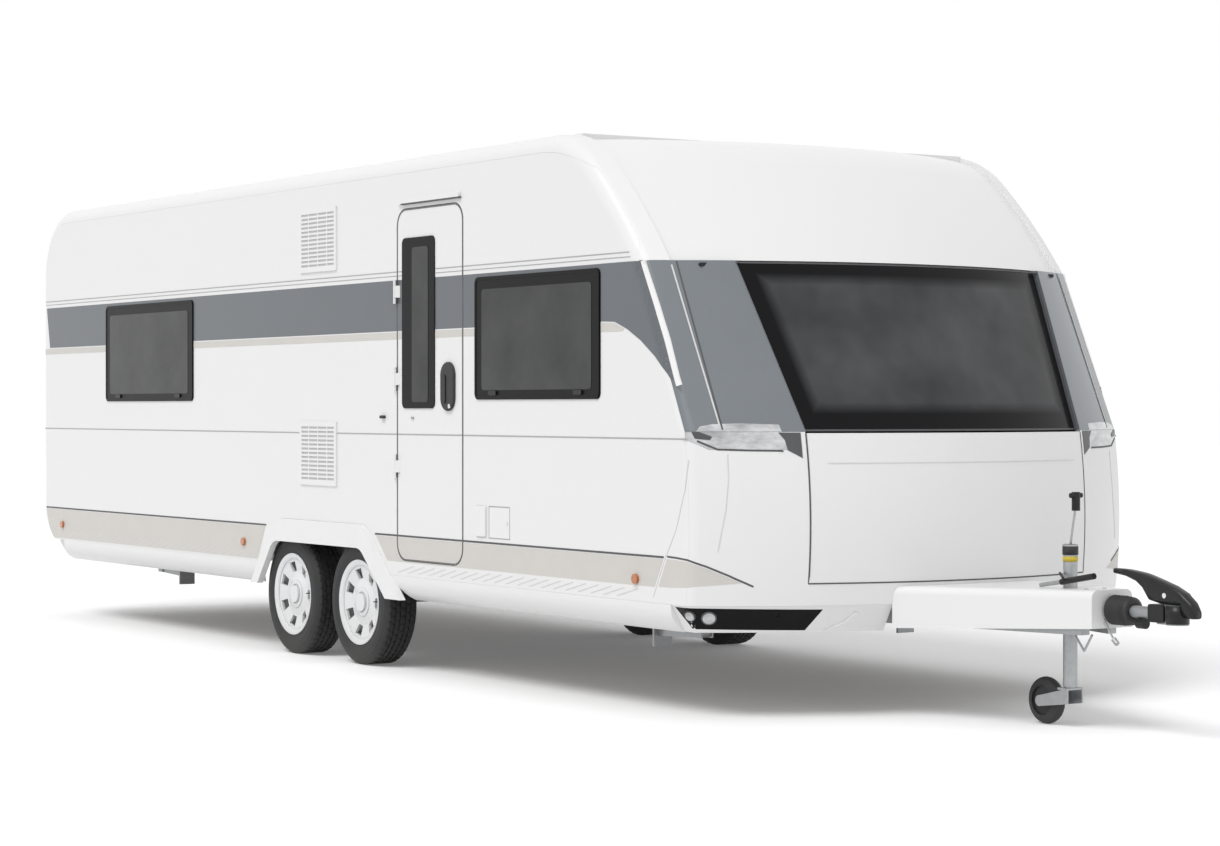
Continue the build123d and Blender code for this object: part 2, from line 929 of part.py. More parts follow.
# Stop frame inside the doorway, on which the closed door rests, and the fixed halves of the hinges
with BuildPart() as door_frame:
    frame_plane = Plane.XZ.offset(body_half_width - wall - seat_gap)
    door_mid = (door_x + door_width / 2, door_foot_z + door_height / 2)
    with BuildSketch(frame_plane):
        with Locations(door_mid):
            RectangleRounded(
                door_width + 2 * shut_gap + 2 * door_stop_width,
                door_height + 2 * shut_gap + 2 * door_stop_width,
                door_corner,
            )
            RectangleRounded(
                door_width - 2 * door_stop_width,
                door_height - 2 * door_stop_width,
                door_corner,
                mode=Mode.SUBTRACT,
            )
    extrude(amount=-door_stop_depth)
    add(
        block(
            near_x, far_x, -far_y, 0, low_z, floor_z + floor_thickness + seat_gap
        ),
        mode=Mode.SUBTRACT,
    )
    for level in hinge_levels:
        for foot in (level - hinge_barrel / 2 - panel_gap, level + hinge_barrel + panel_gap):
            with BuildSketch(Plane.XY.offset(foot)):
                with Locations((hinge_x, hinge_y)):
                    Circle(hinge_radius)
                with BuildLine():
                    Polyline(
                        (hinge_x, hinge_y - hinge_radius),
                        (hinge_x, hinge_y + hinge_radius),
                        (hinge_x - hinge_radius, -body_half_width - seat_gap),
                        (hinge_x - hinge_barrel / 2, -body_half_width - seat_gap),
                        (hinge_x - hinge_barrel / 2, -body_half_width - seat_gap - hinge_radius / 2),
                        close=True,
                    )
                make_face()
            extrude(amount=hinge_barrel / 2)
finish(door_frame.part, "door_frame")

# Windows of each side, each a framed pane seated in its opening
for side_name, holes in (("right", right_holes), ("left", left_holes)):
    with BuildPart() as panes:
        for distance, width, sill, height, corner in holes:
            add(
                side_plate(
                    -1,
                    at(distance) + seat_gap,
                    sill + seat_gap,
                    width - 2 * seat_gap,
                    height - 2 * seat_gap,
                    corner,
                    window_depth,
                    window_proud,
                )
            )
    if side_name == "right":
        finish(panes.part, "windows_right")
    else:
        finish(mirror(panes.part, about=Plane.XZ), "windows_left")

with BuildPart() as rear_window:
    with BuildSketch(Plane.YZ.offset(at(-window_proud))):
        with Locations((0, window_sill_z + window_height / 2)):
            RectangleRounded(
                2 * rear_window_half - 2 * seat_gap, window_height - 2 * seat_gap, window_corner
            )
    extrude(amount=window_depth)
finish(rear_window.part, "rear_window")

# Fridge vents: a frame with sloping louvres
with BuildPart() as vents:
    pitch = (vent_height - 2 * vent_frame) / louvre_count
    for z in (upper_vent_z, lower_vent_z):
        add(
            side_plate(
                -1,
                at(vent_at) + seat_gap,
                z + seat_gap,
                vent_width - 2 * seat_gap,
                vent_height - 2 * seat_gap,
                vent_corner,
                window_depth,
                vent_proud,
            )
        )
        with BuildSketch(Plane.XZ.offset(body_half_width + vent_proud)):
            for index in range(louvre_count):
                with Locations((at(vent_at) + vent_width / 2, z + vent_frame + (index + louvre_share) * pitch)):
                    Rectangle(vent_width - 2 * vent_frame, pitch * louvre_share)
        extrude(amount=-window_depth / 2, mode=Mode.SUBTRACT)
finish(vents.part, "fridge_vents")

# Service flap, hinged along its upper edge
with BuildPart() as service_flap:
    add(side_plate(-1, at(flap_at), flap_z, flap_width, flap_height, shut_gap, flap_thickness, 0))
finish(service_flap.part, "service_flap")

# Marker lamps along both sides
with BuildPart() as marker_lamps:
    for side in (-1, 1):
        for distance in (marker_rear_at, marker_middle_at, marker_front_at):
            with BuildSketch(Plane.XZ.offset(-side * (body_half_width + marker_depth))):
                with Locations((at(distance), marker_z)):
                    Circle(marker_radius)
            extrude(amount=side * (marker_depth - seat_gap))
finish(marker_lamps.part, "marker_lamps")

with BuildPart() as awning_lamp:
    with BuildSketch(Plane.XZ.offset(body_half_width + seat_gap)):
        with Locations(
            (
                door_x + door_width / 2,
                door_foot_z + door_height + shut_gap + awning_lamp_rise + awning_lamp_height / 2,
            )
        ):
            RectangleRounded(awning_lamp_width, awning_lamp_height, awning_lamp_height / 3)
    extrude(amount=door_hinge_reach)
finish(awning_lamp.part, "awning_lamp")

# Skirts with the wheel arch moulding between their two halves
with BuildPart() as arch_ring:
    add(arch_outer)
    add(arch_inner, mode=Mode.SUBTRACT)
    add(
        block(
            near_x,
            far_x,
            -body_half_width - arch_proud,
            -body_half_width + arch_depth,
            skirt_bottom_z,
            roof_z,
        ),
        mode=Mode.INTERSECT,
    )
with BuildPart() as side_skirt:
    with BuildSketch(Plane.YZ.offset(at(skirt_rear_at))):
        with BuildLine():
            top_z = side_bottom_z - panel_gap
            outer = Line((-body_half_width, top_z), (-body_half_width, top_z - skirt_thickness))
            bow = TangentArc(outer @ 1, (-body_half_width + skirt_tuck, skirt_bottom_z), tangent=outer % 1)
            Polyline(
                bow @ 1,
                (-body_half_width + skirt_tuck, skirt_bottom_z + skirt_thickness),
                (-body_half_width + 2 * skirt_thickness, top_z - skirt_thickness),
                (-body_half_width + 2 * skirt_thickness, top_z),
                outer @ 0,
            )
        make_face()
    extrude(amount=skirt_front_at - skirt_rear_at)
    add(arch_outer, mode=Mode.SUBTRACT)
    add(arch_ring.part)
finish(side_skirt.part, "side_skirt_right")
finish(mirror(side_skirt.part, about=Plane.XZ), "side_skirt_left")

# Rear bumper with places for the lamps and the plate
behind_form = Location((-panel_gap, 0, 0)) * outer_form
with BuildPart() as rear_bumper:
    with BuildSketch(Plane.XZ):
        with BuildLine():
            top = Line((at(-panel_gap), bumper_top_z), (at(-bumper_reach), bumper_top_z - bumper_reach))
            face = Line(top @ 1, (at(-bumper_reach), rear_tuck_z))
            ThreePointArc(face @ 1, (at(bumper_bow_at), bumper_bow_z), (at(bumper_foot_at), bumper_foot_z))
            under_z = side_bottom_z - panel_gap
            Polyline(
                top @ 0,
                (at(wall), bumper_top_z),
                (at(wall), rear_tuck_z),
                (at(bumper_foot_at), under_z),
                (at(bumper_foot_at), bumper_foot_z),
            )
        make_face()
    extrude(amount=bumper_half, both=True)
    add(behind_form, mode=Mode.SUBTRACT)
    for side in (-1, 1):
        with BuildSketch(Plane.YZ.offset(at(-bumper_reach))):
            with Locations(
                (
                    side * (bumper_half - tail_lamp_inset - tail_lamp_width / 2),
                    tail_lamp_z + tail_lamp_height / 2,
                )
            ):
                Rectangle(tail_lamp_width, tail_lamp_height)
        extrude(amount=tail_lamp_depth, mode=Mode.SUBTRACT)
    with BuildSketch(Plane.YZ.offset(at(-bumper_reach))):
        with Locations((0, plate_z + plate_height / 2)):
            Rectangle(2 * plate_half, plate_height)
    extrude(amount=plate_recess, mode=Mode.SUBTRACT)
finish(rear_bumper.part, "rear_bumper")

with BuildPart() as tail_lamps:
    for side in (-1, 1):
        with BuildSketch(Plane.YZ.offset(at(-bumper_reach + seat_gap))):
            with Locations(
                (
                    side * (bumper_half - tail_lamp_inset - tail_lamp_width / 2),
                    tail_lamp_z + tail_lamp_height / 2,
                )
            ):
                Rectangle(tail_lamp_width - 2 * seat_gap, tail_lamp_height - 2 * seat_gap)
        extrude(amount=tail_lamp_depth - 2 * seat_gap)
finish(tail_lamps.part, "tail_lamps")

# Roof lights: lids hinged at their rear edge
for name, distance in roof_lights:
    with BuildPart() as roof_light:
        with BuildSketch(Plane.XY.offset(roof_z + roof_light_curb)):
            with Locations((at(distance), 0)):
                RectangleRounded(roof_light_size, roof_light_size, roof_light_frame)
        extrude(amount=roof_light_rise, taper=roof_light_taper)
    finish(roof_light.part, f"roof_light_{name}")

# Wheels: tyre, and a steel rim with its slotted cover
axle_places = (
    ("front", axle_mid_at + axle_spacing / 2),
    ("rear", axle_mid_at - axle_spacing / 2),
)
half_tyre = tyre_width / 2
half_rim = rim_width / 2
for end_name, distance in axle_places:
    hub = Plane(origin=(at(distance), -track_half, tyre_radius), x_dir=(1, 0, 0), z_dir=(0, -1, 0))
    section = Plane(origin=hub.origin, x_dir=(0, -1, 0), z_dir=(-1, 0, 0))
    spin = Axis(hub.origin, (0, 1, 0))
    with BuildPart() as tyre:
        with BuildSketch(section):
            with BuildLine():
                tread = Line(
                    (-half_tyre + tyre_shoulder, tyre_radius), (half_tyre - tyre_shoulder, tyre_radius)
                )
                outer = ThreePointArc(
                    tread @ 1,
                    (half_tyre, (tyre_radius + rim_radius) / 2),
                    (half_rim, rim_radius + rim_fit),
                )
                bead = Line(outer @ 1, (-half_rim, rim_radius + rim_fit))
                ThreePointArc(bead @ 1, (-half_tyre, (tyre_radius + rim_radius) / 2), tread @ 0)
            make_face()
        revolve(axis=spin)
    finish(tyre.part, f"tyre_{end_name}_right")
    finish(mirror(tyre.part, about=Plane.XZ), f"tyre_{end_name}_left")
    with BuildPart() as wheel:
        with BuildSketch(section):
            with BuildLine():
                Polyline(
                    (-half_rim, rim_radius),
                    (half_rim - rim_wall, rim_radius),
                    (half_rim, rim_radius - rim_wall),
                    (half_rim, cover_shoulder),
                    (half_rim - rim_dish / 2, slot_root),
                    (half_rim - rim_dish / 4, hub_radius),
                    (half_rim - rim_dish / 4, hub_cap_radius),
                    (half_rim + hub_cap_rise / 2, hub_cap_radius),
                    (half_rim + hub_cap_rise / 2, 0),
                    (half_rim - rim_dish / 4 - rim_wall, 0),
                    (half_rim - rim_dish / 4 - rim_wall, stub_radius + stub_fit),
                    (-half_rim + rim_dish, stub_radius + stub_fit),
                    (-half_rim + rim_dish, hub_radius - rim_wall),
                    (half_rim - rim_dish, hub_radius - rim_wall),
                    (half_rim - rim_dish, slot_root),
                    (half_rim - 2 * rim_wall, rim_radius - 2 * rim_wall),
                    (-half_rim, rim_radius - rim_wall),
                    close=True,
                )
            make_face()
        revolve(axis=spin)
        with BuildSketch(hub.offset(half_rim + rim_wall)):
            with PolarLocations(slot_middle, slot_count):
                Trapezoid(slot_tip_width, slot_reach, slot_taper, rotation=slot_turn)
        extrude(amount=-rim_dish - 2 * rim_wall, mode=Mode.SUBTRACT)
    finish(wheel.part, f"wheel_{end_name}_right")
    finish(mirror(wheel.part, about=Plane.XZ), f"wheel_{end_name}_left")

rail_floor_z = side_bottom_z + wall - seat_gap
rail_foot_z = rail_floor_z - rail_height
# Axles: on each a cross tube, trailing arms, brake drums and the stubs that carry the wheels
tube_z = rail_foot_z - seat_gap - axle_tube / 2 * math.cos(math.pi / axle_sides)
arm_y = track_half - half_rim - drum_gap - arm_thickness
with BuildPart() as axles:
    for end_name, distance in axle_places:
        tube_at = distance + axle_lead
        with BuildSketch(Plane.XZ):
            with Locations((at(tube_at), tube_z)):
                RegularPolygon(axle_tube / 2, axle_sides)
        extrude(amount=arm_y, both=True)
        for side in (-1, 1):
            with BuildSketch(Plane.XZ.offset(-side * arm_y)):
                with BuildLine():
                    Polyline(
                        (at(tube_at), tube_z + arm_height / 2),
                        (at(tube_at), tube_z - arm_height / 2),
                        (at(distance), tyre_radius - arm_height / 2),
                        (at(distance), tyre_radius + arm_height / 2),
                        close=True,
                    )
                make_face()
                with Locations((at(tube_at), tube_z)):
                    Circle(axle_tube / 2)
                with Locations((at(distance), tyre_radius)):
                    Circle(arm_height / 2)
            extrude(amount=-side * arm_thickness)
            drum_plane = Plane.XZ.offset(-side * (arm_y + arm_thickness))
            with BuildSketch(drum_plane):
                with Locations((at(distance), tyre_radius)):
                    Circle(drum_radius)
            extrude(amount=-side * drum_depth)
            with BuildSketch(drum_plane):
                with Locations((at(distance), tyre_radius)):
                    Circle(stub_radius)
            extrude(amount=-side * (drum_gap + half_rim + half_rim - rim_dish / 4 - 2 * rim_wall))
finish(axles.part, "axles")

# Chassis: two long rails, each with a lower arm that runs on to the coupling
for side, side_name in ((-1, "right"), (1, "left")):
    with BuildPart() as rail:
        rail_ends = sorted((side * (rail_y - rail_width / 2), side * (rail_y + rail_width / 2)))
        add(block(at(rail_rear_at), at(rail_front_at), *rail_ends, rail_foot_z, rail_floor_z))
        with BuildSketch(Plane.XY.offset(arm_foot_z)):
            with BuildLine():
                Polyline(
                    (at(rail_front_at - arm_lap), side * (rail_y - rail_width / 2)),
                    (at(rail_front_at), side * (rail_y - rail_width / 2)),
                    (at(drawbar_tip_at), side * (drawbar_tip_half - rail_width / 2)),
                    (at(drawbar_tip_at), side * (drawbar_tip_half + rail_width / 2)),
                    (at(rail_front_at), side * (rail_y + rail_width / 2)),
                    (at(rail_front_at - arm_lap), side * (rail_y + rail_width / 2)),
                    close=True,
                )
            make_face()
        extrude(amount=arm_top_z - arm_foot_z)
    finish(rail.part, f"chassis_rail_{side_name}")

# Members between the rails, and the brackets outside them that carry the corner steadies
rail_inner = rail_y - rail_width / 2 - seat_gap
rail_outer = rail_y + rail_width / 2 + seat_gap
leg_half = steady_width / 2
with BuildPart() as cross_members:
    for distance in (steady_rear_pivot_at, axle_mid_at, steady_front_pivot_at):
        add(
            block(
                at(distance) - cross_size / 2,
                at(distance) + cross_size / 2,
                -rail_inner,
                rail_inner,
                rail_floor_z - cross_size,
                rail_floor_z,
            )
        )
    for side in (-1, 1):
        for distance in (steady_rear_pivot_at, steady_front_pivot_at):
            back_x = at(distance) - cross_size / 2
            front_x = at(distance) + cross_size / 2
            arm_ends = sorted((side * rail_outer, side * (steady_y + leg_half + steady_lug)))
            add(block(back_x, front_x, *arm_ends, rail_floor_z - cross_size, rail_floor_z))
            for inner, outer in (
                (steady_y - leg_half - steady_lug, steady_y - leg_half - panel_gap),
                (steady_y + leg_half + panel_gap, steady_y + leg_half + steady_lug),
            ):
                cheek_ends = sorted((side * inner, side * outer))
                add(block(back_x, front_x, *cheek_ends, steady_pivot_z - steady_round, rail_floor_z))
            with BuildSketch(Plane.XZ.offset(-side * steady_y)):
                with Locations((at(distance), steady_pivot_z)):
                    Circle(steady_pin)
            extrude(amount=leg_half + steady_lug, both=True)
finish(cross_members.part, "cross_members")

# Corner steadies, folded up under the floor. Columns: name, pivot, end the leg points to, side
steadies = (
    ("rear_right", steady_rear_pivot_at, 1, -1),
    ("rear_left", steady_rear_pivot_at, 1, 1),
    ("front_right", steady_front_pivot_at, -1, -1),
    ("front_left", steady_front_pivot_at, -1, 1),
)
for name, distance, end, side in steadies:
    tip_x = at(distance) + end * steady_length
    with BuildPart() as steady:
        with BuildSketch(Plane.XZ.offset(-side * steady_y)):
            with BuildLine():
                Polyline(
                    (at(distance), steady_pivot_z + steady_round),
                    (at(distance), steady_pivot_z - steady_round),
                    (tip_x, steady_pivot_z - steady_height),
                    (tip_x, steady_pivot_z - steady_height / 4),
                    close=True,
                )
            make_face()
            with Locations((at(distance), steady_pivot_z)):
                Circle(steady_round)
        extrude(amount=leg_half, both=True)
        with BuildSketch(Plane.XZ.offset(-side * steady_y)):
            with Locations((tip_x, steady_pivot_z - steady_height)):
                Rectangle(steady_foot_thickness, steady_foot)
        extrude(amount=steady_width, both=True)
        with BuildSketch(Plane.XZ.offset(-side * steady_y)):
            with Locations((at(distance), steady_pivot_z)):
                Circle(steady_pin + jockey_fit)
        extrude(amount=steady_width, both=True, mode=Mode.SUBTRACT)
    finish(steady.part, f"steady_{name}")

# Cover over the drawbar, open below and closed against the nose
before_form = Location((panel_gap, 0, 0)) * outer_form
cover_ends = (
    (cover_rear_at, cover_rear_half, cover_rear_top_z, cover_rear_foot_z),
    (cover_front_at, cover_front_half, cover_front_top_z, cover_front_foot_z),
)
with BuildPart() as drawbar_cover:
    for distance, half, top_z, foot_z in cover_ends:
        with BuildSketch(Plane.YZ.offset(at(distance))) as face:
            with Locations((0, (top_z + foot_z) / 2)):
                Rectangle(2 * half, top_z - foot_z)
            fillet(face.vertices().group_by(Axis.Y)[-1], cover_round)
    loft(ruled=True)
    for distance, half, top_z, foot_z in cover_ends:
        inner_x = at(distance) - cover_wall
        with BuildSketch(Plane.YZ.offset(inner_x)) as face:
            with Locations((0, (top_z + foot_z - cover_wall - cut_over) / 2)):
                Rectangle(2 * half - 2 * cover_wall, top_z - foot_z - cover_wall + cut_over)
            fillet(face.vertices().group_by(Axis.Y)[-1], cover_round - cover_wall)
    loft(ruled=True, mode=Mode.SUBTRACT)
    add(before_form, mode=Mode.SUBTRACT)
    with BuildSketch(Plane.XY.offset(cover_rear_foot_z - cut_over)):
        with Locations((at(nose_foot_at) - front_plan_radius, 0)):
            Circle(front_plan_radius + panel_gap)
    extrude(amount=side_bottom_z - cover_rear_foot_z + cut_over, mode=Mode.SUBTRACT)
    with BuildSketch(Plane.XY.offset(arm_top_z)):
        with Locations((at(jockey_at), 0)):
            Circle(jockey_tube + shut_gap)
    extrude(amount=jockey_tube_top_z - arm_top_z, mode=Mode.SUBTRACT)
    with BuildSketch(Plane.YZ.offset(at(cover_front_at) - wall)):
        with Locations((0, coupling_z)):
            Circle(housing_radius + panel_gap)
    extrude(amount=2 * wall, mode=Mode.SUBTRACT)
finish(drawbar_cover.part, "drawbar_cover")

# Jockey wheel: the clamped tube, the turning stem with its fork, and the wheel
jockey_x = at(jockey_at)
jockey_axle_x = at(jockey_at - jockey_trail)
with BuildPart() as jockey_tube_part:
    with BuildSketch(Plane.XY.offset(jockey_tube_foot_z)):
        with Locations((jockey_x, 0)):
            Circle(jockey_tube)
    extrude(amount=jockey_tube_top_z - jockey_tube_foot_z)
    with BuildSketch(Plane.XY.offset(jockey_tube_foot_z)):
        with Locations((jockey_x, 0)):
            Circle(jockey_stem + jockey_fit)
    extrude(amount=jockey_stem_top_z + shut_gap - jockey_tube_foot_z, mode=Mode.SUBTRACT)
    with BuildSketch(Plane.XY.offset(jockey_tube_top_z)):
        with Locations((jockey_x, 0)):
            Circle(jockey_cap_radius)
    extrude(amount=jockey_cap_height)
    crank_foot = Vector(jockey_x, 0, jockey_tube_top_z + jockey_cap_height - crank_radius)
    crank_tip = Vector(jockey_x + crank_lean, 0, crank_top_z)
    crank_way = (crank_tip - crank_foot).normalized()
    with BuildSketch(Plane(origin=crank_foot, z_dir=crank_way)):
        Circle(crank_radius)
    extrude(amount=(crank_tip - crank_foot).length)
    with BuildSketch(Plane(origin=crank_tip, z_dir=(0, 0, 1))):
        Circle(crank_knob_radius)
    extrude(amount=crank_knob_height / 2, both=True)
finish(jockey_tube_part.part, "jockey_tube")

with BuildPart() as jockey_fork:
    with BuildSketch(Plane.XY.offset(jockey_tube_foot_z - shut_gap)):
        with Locations((jockey_x, 0)):
            Circle(jockey_stem)
    extrude(amount=jockey_stem_top_z - jockey_tube_foot_z + shut_gap)
    fork_y = jockey_width / 2 + fork_gap
    for side in (-1, 1):
        with BuildSketch(Plane.XZ.offset(-side * fork_y)):
            with BuildLine():
                Polyline(
                    (jockey_x + jockey_tube, jockey_tube_foot_z - shut_gap),
                    (jockey_x + jockey_tube, jockey_radius),
                    (jockey_axle_x, jockey_radius - fork_height / 2),
                    (jockey_axle_x, jockey_radius + fork_height / 2),
                    close=True,
                )
            make_face()
            with Locations((jockey_axle_x, jockey_radius)):
                Circle(fork_height / 2)
        extrude(amount=-side * fork_thickness)
    fork_back = jockey_x - jockey_tube
    add(
        block(
            fork_back,
            jockey_x + jockey_tube,
            -fork_y - fork_thickness,
            fork_y + fork_thickness,
            jockey_tube_foot_z - shut_gap - fork_thickness,
            jockey_tube_foot_z - shut_gap,
        )
    )
    with BuildSketch(Plane.XZ):
        with Locations((jockey_axle_x, jockey_radius)):
            Circle(jockey_pin)
    extrude(amount=fork_y + fork_thickness, both=True)
finish(jockey_fork.part, "jockey_fork")

with BuildPart() as jockey_wheel:
    with BuildSketch(Plane(origin=(jockey_axle_x, 0, jockey_radius), x_dir=(0, 1, 0), z_dir=(1, 0, 0))):
        with BuildLine():
            half = jockey_width / 2
            tread = ThreePointArc(
                (-half * tread_share, jockey_radius - jockey_pin),
                (0, jockey_radius),
                (half * tread_share, jockey_radius - jockey_pin),
            )
            Polyline(
                tread @ 1,
                (half, jockey_radius * dish_share),
                (half * dish_share, jockey_radius * dish_share),
                (half * dish_share, 2 * jockey_pin),
                (half, 2 * jockey_pin),
                (half, jockey_pin + jockey_fit),
                (-half, jockey_pin + jockey_fit),
                (-half, 2 * jockey_pin),
                (-half * dish_share, 2 * jockey_pin),
                (-half * dish_share, jockey_radius * dish_share),
                (-half, jockey_radius * dish_share),
                tread @ 0,
            )
        make_face()
    revolve(axis=Axis((jockey_axle_x, 0, jockey_radius), (0, 1, 0)))
finish(jockey_wheel.part, "jockey_wheel")

# Housing of the overrun coupling on the two arms, bored for the jockey tube
with BuildPart() as housing:
    add(
        block(
            at(housing_rear_at),
            at(drawbar_tip_at),
            -housing_half,
            housing_half,
            arm_top_z + seat_gap,
            coupling_z + housing_radius,
        )
    )
    with BuildSketch(Plane.YZ.offset(at(drawbar_tip_at))):
        with Locations((0, coupling_z)):
            Circle(housing_radius)
    extrude(amount=bellows_rear_at - seat_gap - drawbar_tip_at)
    with BuildSketch(Plane.XY.offset(arm_foot_z)):
        with Locations((jockey_x, 0)):
            Circle(jockey_tube + jockey_fit)
    extrude(amount=2 * housing_half, mode=Mode.SUBTRACT)
finish(housing.part, "overrun_housing")

# Overrun coupling: bellows, head with the ball socket, the handle and the handbrake lever
with BuildPart() as bellows:
    fold = (bellows_front_at - bellows_rear_at) / bellows_folds
    with BuildSketch(Plane.XZ):
        with BuildLine():
            points = [(at(bellows_rear_at), coupling_z)]
            for index in range(bellows_folds):
                points.append((at(bellows_rear_at + index * fold), coupling_z + bellows_root))
                points.append((at(bellows_rear_at + (index + bellows_share) * fold), coupling_z + bellows_radius))
            points.append((at(bellows_front_at), coupling_z + bellows_root))
            points.append((at(bellows_front_at), coupling_z))
            Polyline(*points, close=True)
        make_face()
    revolve(axis=Axis((at(bellows_rear_at), 0, coupling_z), (1, 0, 0)))
finish(bellows.part, "coupling_bellows")

with BuildPart() as coupling_head:
    with BuildSketch(Plane.YZ.offset(at(bellows_front_at) + seat_gap)):
        with Locations((0, coupling_z)):
            Circle(shaft_radius)
    extrude(amount=ball_at - bellows_front_at)
    with BuildSketch(Plane.XY.offset(head_foot_z)):
        with Locations((at(ball_at), 0)):
            Circle(head_radius)
        with Locations((at(ball_at) - head_radius, 0)):
            Rectangle(2 * head_radius, 2 * shaft_radius)
    extrude(amount=head_top_z - head_foot_z)
    with BuildSketch(Plane.XY.offset(head_foot_z)):
        with Locations((at(ball_at), 0)):
            Circle(ball_radius)
    extrude(amount=ball_depth, mode=Mode.SUBTRACT)
finish(coupling_head.part, "coupling_head")

with BuildPart() as coupling_handle:
    tip_x = wall_x + body_length + nose_to_coupling
    tail_x = at(handle_tail_at)
    heel_x = at(handle_heel_at)
    with BuildSketch(Plane.XZ):
        with BuildLine():
            outer = ThreePointArc(
                (tail_x, handle_tail_z + handle_thickness / 2),
                ((tail_x + tip_x) / 2, handle_back_z + handle_thickness / 2),
                (tip_x, handle_nose_z),
            )
            under = Polyline(
                outer @ 1,
                (tip_x, head_foot_z + handle_thickness),
                (at(ball_at) + head_radius + shut_gap, head_foot_z + handle_thickness),
                (at(ball_at) + head_radius + shut_gap, head_top_z + seat_gap),
                (heel_x, head_top_z + seat_gap),
            )
            inner = ThreePointArc(
                under @ 1,
                ((tail_x + heel_x) / 2 + handle_thickness, handle_belly_z),
                (tail_x, handle_tail_z - handle_thickness / 2),
            )
            Line(inner @ 1, outer @ 0)
        make_face()
    extrude(amount=handle_width_half, both=True)
finish(coupling_handle.part, "coupling_handle")

# Handbrake lever, lying on the cover
cover_slope = (cover_front_top_z - cover_rear_top_z) / (cover_front_at - cover_rear_at)
lever_z = cover_rear_top_z + (lever_at - cover_rear_at) * cover_slope + lever_radius + seat_gap
with BuildPart() as brake_lever:
    lever_plane = Plane(origin=(at(lever_at), lever_y, lever_z), z_dir=(1, 0, cover_slope))
    with BuildSketch(lever_plane):
        Circle(lever_radius)
    extrude(amount=lever_grip)
finish(brake_lever.part, "handbrake_lever")
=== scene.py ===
import math

import bmesh
import bpy
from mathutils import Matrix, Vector
from mathutils.bvhtree import BVHTree
from mathutils.geometry import delaunay_2d_cdt


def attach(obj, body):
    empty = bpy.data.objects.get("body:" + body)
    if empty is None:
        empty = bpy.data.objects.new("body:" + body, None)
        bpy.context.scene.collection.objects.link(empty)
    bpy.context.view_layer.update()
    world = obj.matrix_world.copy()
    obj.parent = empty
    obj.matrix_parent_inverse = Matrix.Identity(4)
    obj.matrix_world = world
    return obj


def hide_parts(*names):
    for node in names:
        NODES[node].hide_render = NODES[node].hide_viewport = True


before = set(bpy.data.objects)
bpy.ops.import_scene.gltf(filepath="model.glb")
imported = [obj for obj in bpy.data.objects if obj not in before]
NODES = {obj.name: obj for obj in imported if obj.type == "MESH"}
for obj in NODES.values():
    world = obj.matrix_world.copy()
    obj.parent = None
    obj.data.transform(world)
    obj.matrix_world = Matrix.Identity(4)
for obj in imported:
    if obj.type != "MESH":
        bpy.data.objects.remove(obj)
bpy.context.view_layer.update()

WALL_X = -4.6305
SIDE_Y = 1.235
RIGHT, LEFT = -1, 1
HOST, DOOR = "caravan", "entrance_door"
FAR = 20
GAP_REACH = 0.002

# films and panes: how far their back and their face stand off the wall
FILM_BACK, GREY_FACE, BEIGE_FACE = 0.0003, 0.0009, 0.0008
PANE_BACK, PANE_FACE = 0.0062, 0.0074
# heights of the bands, and the distances where they and the seams part for the door
BAND_FOOT, BAND_TOP = 1.725, 1.982
UNDER_FOOT, UNDER_TOP = 1.683, 1.719
FOOT_TOP = 0.684
BAND_FRONT = 6.823
CUT_REAR, CUT_FRONT = 4.89, 5.574
SEAM_REAR, SEAM_FRONT = 4.891, 5.573
DOOR_REAR, DOOR_FRONT = 4.899, 5.565
# spans of a noise over which a tone changes
SOFT, EVEN = (0.15, 0.85), (0.25, 0.75)


def at(distance):
    """Place along X of a point this many metres ahead of the rear wall."""
    return WALL_X + distance


# Materials
def new_material(name):
    """A material that holds one principled shader."""
    mat = bpy.data.materials.new(name)
    mat.use_nodes = True
    tree = mat.node_tree
    tree.nodes.clear()
    out = tree.nodes.new("ShaderNodeOutputMaterial")
    bsdf = tree.nodes.new("ShaderNodeBsdfPrincipled")
    tree.links.new(bsdf.outputs[0], out.inputs[0])
    return mat, tree, bsdf


def coords(tree, scale=(1, 1, 1)):
    """The part's own coordinates in metres, stretched if asked."""
    source = tree.nodes.new("ShaderNodeTexCoord")
    mapping = tree.nodes.new("ShaderNodeMapping")
    mapping.inputs["Scale"].default_value = scale
    tree.links.new(source.outputs["Object"], mapping.inputs["Vector"])
    return mapping.outputs[0]


def noise_node(tree, vector, scale, detail, rough=0.5):
    """A cloudy noise between nought and one."""
    node = tree.nodes.new("ShaderNodeTexNoise")
    node.inputs["Scale"].default_value = scale
    node.inputs["Detail"].default_value = detail
    node.inputs["Roughness"].default_value = rough
    tree.links.new(vector, node.inputs["Vector"])
    return node.outputs["Fac"]


def ramp_node(tree, factor, low, high, start=0.3, end=0.7):
    """A value that runs from low to high while the factor runs from start to end."""
    node = tree.nodes.new("ShaderNodeMapRange")
    node.inputs["From Min"].default_value = start
    node.inputs["From Max"].default_value = end
    node.inputs["To Min"].default_value = low
    node.inputs["To Max"].default_value = high
    tree.links.new(factor, node.inputs["Value"])
    return node.outputs["Result"]


def mix_node(tree, factor, first, second):
    """A blend of two colours, each a tone or the output of a node."""
    node = tree.nodes.new("ShaderNodeMix")
    node.data_type = "RGBA"
    tree.links.new(factor, node.inputs["Factor"])
    for socket, value in ((node.inputs[6], first), (node.inputs[7], second)):
        if isinstance(value, tuple):
            socket.default_value = (*value, 1)
        else:
            tree.links.new(value, socket)
    return node.outputs[2]


def bump_node(tree, height, strength, distance):
    """A normal roughened by a height."""
    node = tree.nodes.new("ShaderNodeBump")
    node.inputs["Strength"].default_value = strength
    node.inputs["Distance"].default_value = distance
    tree.links.new(height, node.inputs["Height"])
    return node.outputs[0]


